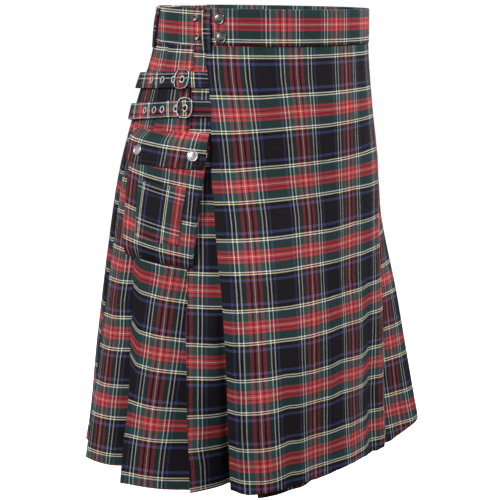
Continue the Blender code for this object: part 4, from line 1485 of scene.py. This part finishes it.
def make_snap(snap):
    rows = STUD_PROFILE if "stud" in snap.name else CAP_PROFILE
    radius = snap.diameter / 2
    profile = [(row.radius_share * radius, SEAM_GAP / 2 + row.rise_share * radius) for row in rows]
    at = seat(snap.height, snap.arc, snap.face)
    return finished(f"{snap.name}_cap", *seated(turned(profile), at))


# --- Materials ---
def new_material(name, **settings):
    material = bpy.data.materials.new(name)
    material.use_nodes = True
    shader = material.node_tree.nodes["Principled BSDF"]
    for socket, value in settings.items():
        shader.inputs[socket.replace("_", " ")].default_value = value
    return material, material.node_tree, shader


def feed(tree, socket, value):
    """Links a socket's value in, or sets it."""
    if isinstance(value, bpy.types.NodeSocket):
        tree.links.new(value, socket)
    elif value is not None:
        socket.default_value = value


def add(tree, kind, *inputs, **settings):
    """New shader node: inputs are sockets or values, in order; settings are its own."""
    made = tree.nodes.new(f"ShaderNode{kind}")
    for name, value in settings.items():
        setattr(made, name, value)
    for socket, value in zip(made.inputs, inputs):
        feed(tree, socket, value)
    return made.outputs[0]


def calculate(tree, operation, *values):
    return add(tree, "Math", *values, operation=operation)


def noise(tree, at, scale, detail, roughness):
    return add(tree, "TexNoise", at, None, scale, detail, roughness)


def ranged(tree, value, *ends):
    """Value whose old least and most become the new ones, in that order."""
    return add(tree, "MapRange", value, *ends)


def mixed(tree, share, first, second, blend="MIX"):
    """Colour mixed from two colours."""
    made = tree.nodes.new("ShaderNodeMix")
    made.data_type = "RGBA"
    made.blend_type = blend
    for name, value in (("Factor_Float", share), ("A_Color", first), ("B_Color", second)):
        feed(tree, next(s for s in made.inputs if s.identifier == name), value)
    return next(s for s in made.outputs if s.identifier == "Result_Color")


def grey(tree, value):
    return add(tree, "CombineColor", value, value, value)


def shaded(tree, colour, value):
    """Colour made darker or lighter."""
    return mixed(tree, 1.0, colour, grey(tree, value), "MULTIPLY")


def on_object(tree):
    return add(tree, "TexCoord").node.outputs["Object"]


def bumped(tree, shader, height, strength, distance):
    bump = add(tree, "Bump", strength, distance)
    tree.links.new(height, bump.node.inputs["Height"])
    tree.links.new(bump, shader.inputs["Normal"])


def sett_colours(tree, coordinate, sett, repeat):
    """Colour of the yarn at a coordinate across the sett."""
    folded = calculate(tree, "PINGPONG", coordinate, repeat / 2)
    colours = add(tree, "ValToRGB", calculate(tree, "DIVIDE", folded, repeat / 2))
    ramp = colours.node.color_ramp
    ramp.interpolation = "CONSTANT"
    total = sum(stripe.width for stripe in sett)
    run = 0.0
    for i, stripe in enumerate(sett):
        if i < len(ramp.elements):
            element = ramp.elements[i]
            element.position = run / total
        else:
            element = ramp.elements.new(run / total)
        element.color = (*YARNS[stripe.yarn], 1.0)
        run += stripe.width
    return colours


def tartan_material():
    """2/2 twill of coloured yarns, which cross where the attribute "cloth" says, with painted shade
    in the crevices between them.
    """
    material, tree, shader = new_material(
        "tartan",
        Roughness=0.72,
        Specular_IOR_Level=0.07,
        Sheen_Weight=0.015,
        Sheen_Roughness=0.40,
        Sheen_Tint=(0.80, 0.82, 0.85, 1.0),
    )
    place_on_cloth = add(tree, "Attribute", attribute_name="cloth").node.outputs["Vector"]
    split = add(tree, "SeparateXYZ", place_on_cloth).node.outputs
    across, down = split["X"], split["Y"]
    wobble = calculate(tree, "SUBTRACT", noise(tree, place_on_cloth, 90.0, 2.0, 0.5), 0.5)
    wobble = calculate(tree, "MULTIPLY", wobble, YARN_WOBBLE)
    warp = sett_colours(tree, calculate(tree, "ADD", across, wobble), WARP_SETT, WARP_REPEAT)
    weft = sett_colours(tree, calculate(tree, "ADD", down, wobble), WEFT_SETT, WEFT_REPEAT)

    # Yarns differ a little from each other and along their length
    def yarn_tone(x, y, z):
        return noise(tree, add(tree, "CombineXYZ", x, y, z), 1.0, 2.0, 0.6)

    def fine(coordinate):
        return calculate(tree, "DIVIDE", coordinate, YARN_PITCH * 1.7)

    def slow(coordinate):
        return calculate(tree, "MULTIPLY", coordinate, 40.0)

    def toned(colour, tone):
        return shaded(tree, colour, ranged(tree, tone, 0.25, 0.75, 0.72, 1.28))

    warp_tone = yarn_tone(fine(across), slow(down), 3.0)
    weft_tone = yarn_tone(slow(across), fine(down), 9.0)
    warp, weft = toned(warp, warp_tone), toned(weft, weft_tone)

    # Twill: along each diagonal rib the weft lies on top, then the warp, and between them both sink
    # into a crevice, where the darker of the two yarns is painted as shade
    diagonal = calculate(tree, "ADD", across, down)
    rib = calculate(tree, "FRACT", calculate(tree, "DIVIDE", diagonal, 4 * YARN_PITCH))
    rise = calculate(tree, "PINGPONG", rib, 0.5)
    # Painted shade: the darker of warp and weft stands for the shadowed crevice where both yarns
    # sink
    crevice_shade = mixed(tree, 1.0, warp, weft, "DARKEN")
    soft = TWILL_SOFT
    weft_from, warp_to = 0.5 - WEFT_SHARE / 2, WARP_SHARE / 2
    weft_over = ranged(tree, rise, weft_from - soft, weft_from + soft, 0.0, 1.0)
    warp_over = ranged(tree, rise, warp_to - soft, warp_to + soft, 1.0, 0.0)
    colour = mixed(tree, weft_over, mixed(tree, warp_over, crevice_shade, warp), weft)
    # The even mixture holds the same painted crevice shade in its share
    even = mixed(tree, WARP_SHARE / (1 - WEFT_SHARE), crevice_shade, warp)
    colour = mixed(tree, TWILL_CLEAR, mixed(tree, WEFT_SHARE, even, weft), colour)

    # Slow changes of depth in the dye
    cloudy = ranged(tree, noise(tree, place_on_cloth, 14.0, 3.0, 0.55), 0.3, 0.7, 0.90, 1.10)
    tree.links.new(shaded(tree, colour, cloudy), shader.inputs["Base Color"])
    fuzz = calculate(tree, "ADD", warp_tone, weft_tone)
    height = calculate(tree, "ADD", calculate(tree, "MULTIPLY", rise, 1.6), fuzz)
    bumped(tree, shader, height, 0.35, 0.00018)
    return material


def metal_material(metal):
    """Plated metal with fine scratches, duller where it has been handled."""
    material, tree, shader = new_material(metal.name, Metallic=metal.metallic)
    here = on_object(tree)
    blotch = noise(tree, here, 260.0, 3.0, 0.6)
    tint = ranged(tree, blotch, 0.3, 0.7, 1.0 - metal.dull, 1.0)
    tree.links.new(shaded(tree, (*metal.colour, 1.0), tint), shader.inputs["Base Color"])
    rough = ranged(tree, blotch, 0.3, 0.7, metal.roughness * 0.8, metal.roughness * 1.35)
    tree.links.new(rough, shader.inputs["Roughness"])
    bumped(tree, shader, noise(tree, here, 1900.0, 2.0, 0.7), 0.12, 0.00006)
    return material


def thread_material():
    material, tree, shader = new_material(
        "thread_black", Roughness=0.62, Specular_IOR_Level=0.35, Sheen_Weight=0.15
    )
    twist = add(tree, "TexWave", on_object(tree), 900.0, 1.5, 2.0).node.outputs["Fac"]
    tone = ranged(tree, twist, 0.0, 1.0, 0.75, 1.2)
    tree.links.new(shaded(tree, (*THREAD, 1.0), tone), shader.inputs["Base Color"])
    return material


def plain_material(name, scale, roughness, darkest, lightest):
    """Dull grey, a little uneven."""
    material, tree, shader = new_material(name, Roughness=0.9, Specular_IOR_Level=0.1)
    uneven = noise(tree, on_object(tree), scale, 2.0, roughness)
    tone = ranged(tree, uneven, 0.3, 0.7, darkest, lightest)
    tree.links.new(grey(tree, tone), shader.inputs["Base Color"])
    return material, shader


# --- Seams ---
# Distances of seams from edges: the band's, a belt loop's ends, a strap's rear end, a tab's front
# end, the flap's, the patch's, the pocket's and the outer apron's hem; and shares across a width
BAND_SEAM = 0.003
BAND_LOWER_SEAM = 0.0026
LOOP_SEAM_SHARE = 0.35
LOOP_BAR_SHARE = 0.38
LOOP_BARS = (0.0018, 0.0028)
STRAP_BARS = (0.003, 0.018)
TAB_SEAM = 0.0025
FLAP_SEAM_SHARES = (0.045, 0.955)
FLAP_SEAM = 0.005
FLAP_UPPER_SEAM = 0.0035
PATCH_SEAM = 0.002
POCKET_SEAM = 0.0032
HEM_SEAM = 0.002
LOOP_SEAM_END = 0.001
FLAP_SEAM_END = 0.004
APRON_SEAM_ENDS = (0.002, 0.003)
SEAM_STEP = 0.002
LOOP_PITCH = 0.0024
SMALL_PITCH = 0.0026


def band_seams():
    end = BAND_OVER_END - BAND_SEAM
    top = BAND_HEIGHT / 2 - BAND_SEAM
    arcs = np.arange(end, BAND_UNDER_END - girth(0.0), -SEAM_STEP)
    rows = [(top, arcs), (BAND_LOWER_SEAM - BAND_HEIGHT / 2, arcs)]
    rows.append((np.linspace(top, -top, 16), end))
    return [seam(height, arc, band_out(arc) + BAND_THICK / 2) for height, arc in rows]


def loop_seams():
    seams = []
    for loop in LOOPS:
        heights = np.linspace(LOOP_TOP - LOOP_SEAM_END, LOOP_BOTTOM + LOOP_SEAM_END, 24)
        sides = (-LOOP_SEAM_SHARE, LOOP_SEAM_SHARE)
        rows = [(heights, loop.arc + side * LOOP_WIDTH) for side in sides]
        across = loop.arc + np.linspace(-LOOP_BAR_SHARE, LOOP_BAR_SHARE, 6) * LOOP_WIDTH
        rows += [(LOOP_TOP - inset, across) for inset in LOOP_BARS]
        rows += [(LOOP_BOTTOM + inset, across) for inset in LOOP_BARS]
        for height, arc in rows:
            seams.append(seam(height, arc, loop_out(height, loop.arc) + LOOP_THICK / 2))
    return seams


def strap_seams():
    seams = []
    inset = STRAP_WIDTH / 2 - EDGE_SEAM
    across = np.linspace(-1, 1, 12) * inset
    run = np.arange(STRAP_START + SEAM_STEP, STRAP_END - SEAM_STEP, SEAM_STEP)
    rows = [(run, inset), (run, -inset), *((STRAP_END - bar, across) for bar in STRAP_BARS)]
    for strap in STRAPS:
        for from_buckle, up in rows:
            arc = strap.buckle_arc + from_buckle
            out = strap_out(from_buckle) + STRAP_THICK / 2
            seams.append(seam(strap_middle(strap, arc) + up, arc, out))
        arc = strap.buckle_arc + TAB_FROM + TAB_SEAM
        seams.append(seam(strap_middle(strap, arc) + across, arc, TAB_OUT + TAB_THICK / 2))
    return seams


def on_flap(height, share):
    drawn, arc, out = flap_place(height, share)
    return seam(drawn, arc, out + CLOTH / 2)


def on_front(height, arc, lift):
    """Seam on the pocket's front, or on the patch where it is lifted."""
    out = pocket_front_out(height) + pocket_crown(height, arc) + lift
    return seam(pocket_tilted(height, arc), arc, out)


def pocket_seams():
    low, high = FLAP_BOTTOM + FLAP_SEAM, FLAP_TOP - FLAP_UPPER_SEAM
    heights = np.linspace(FLAP_TOP - FLAP_SEAM_END, low, 30)
    seams = [on_flap(heights, share) for share in FLAP_SEAM_SHARES]
    across = np.linspace(*FLAP_SEAM_SHARES, 60)
    seams += [on_flap(height, across) for height in (low, high)]
    patch_lift = CLOTH * 3 / 2 + SEAM_GAP
    heights = np.linspace(PATCH_TOP - PATCH_SEAM, PATCH_BOTTOM + PATCH_SEAM, 40)
    front, rear = patch_edges(heights)
    seams += [on_front(heights, arc, patch_lift) for arc in (front + PATCH_SEAM, rear - PATCH_SEAM)]
    for height in heights[[0, -1]]:
        front, rear = patch_edges(height)
        arcs = np.linspace(front + PATCH_SEAM, rear - PATCH_SEAM, 40)
        seams.append(on_front(height, arcs, patch_lift))
    heights = np.linspace(FLAP_BOTTOM, POCKET_BOTTOM + POCKET_BEND, 60)
    front, rear = pocket_edges(heights)
    sides = (front + POCKET_SEAM, rear - POCKET_SEAM)
    return seams + [on_front(heights, arc, CLOTH / 2) for arc in sides]


def apron_seams():
    """Down the outer apron's two faced edges and along its hem."""
    above, below = APRON_SEAM_ENDS
    heights = np.linspace(PANEL_TOP - above, APRON_HEM + below, 220)
    height = APRON_HEM + HEM_TURN - HEM_SEAM
    ends = (APRON_FAR_EDGE + HEM_SEAM, float(apron_cut_edge(height)) - HEM_SEAM)
    seams = []
    for line, arc, thick in (
        (heights, apron_cut_edge(heights) - FACING, FACING_THICK),
        (heights, APRON_FAR_EDGE + FACING + 0 * heights, FACING_THICK),
        (height, np.linspace(*ends, 120), HEM_THICK),
    ):
        on, out = seam(line, arc, APRON_OUT + thick / 2)
        on[:, 2] += apron_hem_lift(line, arc)
        seams.append((on, out))
    return seams


def make_seams():
    """All visible rows of stitches, one object for each part of the kilt."""
    return (
        stitches("stitches_waistband", band_seams(), STITCH_PITCH),
        stitches("stitches_belt_loops", loop_seams(), LOOP_PITCH),
        stitches("stitches_straps", strap_seams(), SMALL_PITCH),
        stitches("stitches_pocket", pocket_seams(), SMALL_PITCH),
        stitches("stitches_aprons", apron_seams(), STITCH_PITCH),
    )


# --- Stage ---
WHITE = (1.0, 1.0, 1.0, 1.0)
FLOOR_SIZE = 400.0
FLOOR_HEIGHT = -1.05
FLOOR_GLOW = 0.75
# The world is brightest round the horizon: its strengths there, above and below, and the heights of
# a direction between which they change
WORLD_HORIZON = 1.03
WORLD_ABOVE = 0.22
WORLD_BELOW = 0.08
FADES_ABOVE = (0.16, 0.40)
FADES_BELOW = (-0.10, -0.04)
LIGHTS = table(
    "name x y z size power",
    ("key", 1.08, -1.15, 1.58, 0.7, 83.0),
    ("left", -2.25, -0.28, 0.98, 0.9, 68.0),
    ("back", 0.6, 2.5, 1.6, 1.4, 20.0),
)
LIGHTS_AIM = Vector((0.0, 0.0, -0.15))
CAMERA_SENSOR = 36.0
CAMERA_LENS = 85.4
CAMERA_AZIMUTH = math.radians(35)
CAMERA_PITCH = math.radians(11.53)
CAMERA_DISTANCE = 1.66
CAMERA_ASIDE = -0.015
CAMERA_UP = 0.022


def make_floor():
    size = FLOOR_SIZE
    corners = [(-size, -size), (size, -size), (size, size), (-size, size)]
    mesh = bpy.data.meshes.new("floor")
    mesh.from_pydata([(x, y, FLOOR_HEIGHT) for x, y in corners], [], [(0, 1, 2, 3)])
    floor = linked("floor", mesh)
    material, shader = plain_material("floor_white", 3.0, 0.5, 0.93, 0.95)
    shader.inputs["Emission Color"].default_value = WHITE
    shader.inputs["Emission Strength"].default_value = FLOOR_GLOW
    mesh.materials.append(material)
    floor.visible_diffuse = False
    floor.visible_glossy = False


def make_world():
    world = bpy.data.worlds.new("studio")
    world.use_nodes = True
    tree = world.node_tree
    direction = add(tree, "TexCoord").node.outputs["Generated"]
    up = add(tree, "SeparateXYZ", direction).node.outputs["Z"]
    high = ranged(tree, up, *FADES_ABOVE, WORLD_HORIZON, WORLD_ABOVE)
    low = ranged(tree, up, *FADES_BELOW, WORLD_BELOW, 0.0)
    band = ranged(tree, up, *FADES_BELOW, 0.0, 1.0)
    strength = calculate(tree, "ADD", calculate(tree, "MULTIPLY", high, band), low)
    feed(tree, tree.nodes["Background"].inputs["Strength"], strength)
    feed(tree, tree.nodes["Background"].inputs["Color"], WHITE)
    bpy.context.scene.world = world


def turned_to(direction):
    return direction.to_track_quat("-Z", "Y").to_euler()


def make_lights():
    for light in LIGHTS:
        data = bpy.data.lights.new(light.name, "AREA")
        data.size = light.size
        data.energy = light.power
        lamp = linked(light.name, data)
        lamp.location = (light.x, light.y, light.z)
        lamp.rotation_euler = turned_to(LIGHTS_AIM - lamp.location)


def make_camera():
    right = Vector((math.cos(CAMERA_AZIMUTH), -math.sin(CAMERA_AZIMUTH), 0.0))
    ahead = Vector((math.sin(CAMERA_AZIMUTH), math.cos(CAMERA_AZIMUTH), 0.0))
    upward = Vector((0.0, 0.0, 1.0))
    data = bpy.data.cameras.new("camera")
    data.sensor_width = CAMERA_SENSOR
    data.lens = CAMERA_LENS
    camera = linked("camera", data)
    camera.location = right * CAMERA_ASIDE - ahead * CAMERA_DISTANCE + upward * CAMERA_UP
    look = ahead * math.cos(CAMERA_PITCH) - upward * math.sin(CAMERA_PITCH)
    camera.rotation_euler = turned_to(look)
    bpy.context.scene.camera = camera


# --- The whole scene ---
def dress(piece, material, slot, *nodes):
    """Gives a piece its material, and lets it stand for CAD nodes; slot is not used."""
    piece.data.materials.append(material)
    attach(piece, "root")
    if nodes:
        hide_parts(*nodes)


def main():
    bpy.context.scene.view_settings.view_transform = "Standard"
    make_floor()
    make_world()
    make_lights()
    make_camera()
    tartan = tartan_material()
    metals = {metal.name: metal_material(metal) for metal in METALS}
    thread = thread_material()
    # The eyelets' holes get a near-black material: painted shade
    hole_shade = plain_material("eyelet_hole", 1500.0, 0.6, 0.004, 0.014)[0]

    pleats = make_pleats()
    outer, under = make_aprons()
    band = make_band()
    body, patch, flap = make_pocket()
    for piece in (pleats, outer, under, band, body, patch, flap):
        dress(piece, tartan, "tartan_cloth", piece.name.removesuffix("_cloth"))
    loops, straps = [], []
    for loop in LOOPS:
        loops.append(make_loop(loop))
        dress(loops[-1], tartan, "tartan_cloth", loop.name)
    for strap in STRAPS:
        for piece in make_strap(strap):
            straps.append(piece)
            dress(piece, tartan, "tartan_cloth", piece.name.removesuffix("_cloth"))
        for piece in make_buckle(strap):
            # Buckles and prongs take the darker copy of the nickel, whose base colour paints shade
            dress(piece, metals["wire_nickel"], "nickel", piece.name.removesuffix("_wire"))
        for k, from_buckle in enumerate(strap.eyelets):
            name = f"eyelet_{strap.name}_{k + 1}"
            eyelet, ring_count = make_eyelet(name, strap, from_buckle)
            dress(eyelet, metals["eyelet_nickel"], "nickel", name)
            # The disc in the hole takes the near-black material, as painted shade
            eyelet.data.materials.append(hole_shade)
            for polygon in eyelet.data.polygons[ring_count:]:
                polygon.material_index = 1
    for snap in SNAPS:
        metal = "nickel" if "pocket" in snap.name else "dark_nickel"
        dress(make_snap(snap), metals[metal], metal, snap.name)
    for piece in make_seams():
        dress(piece, thread, "tartan_cloth")


main()
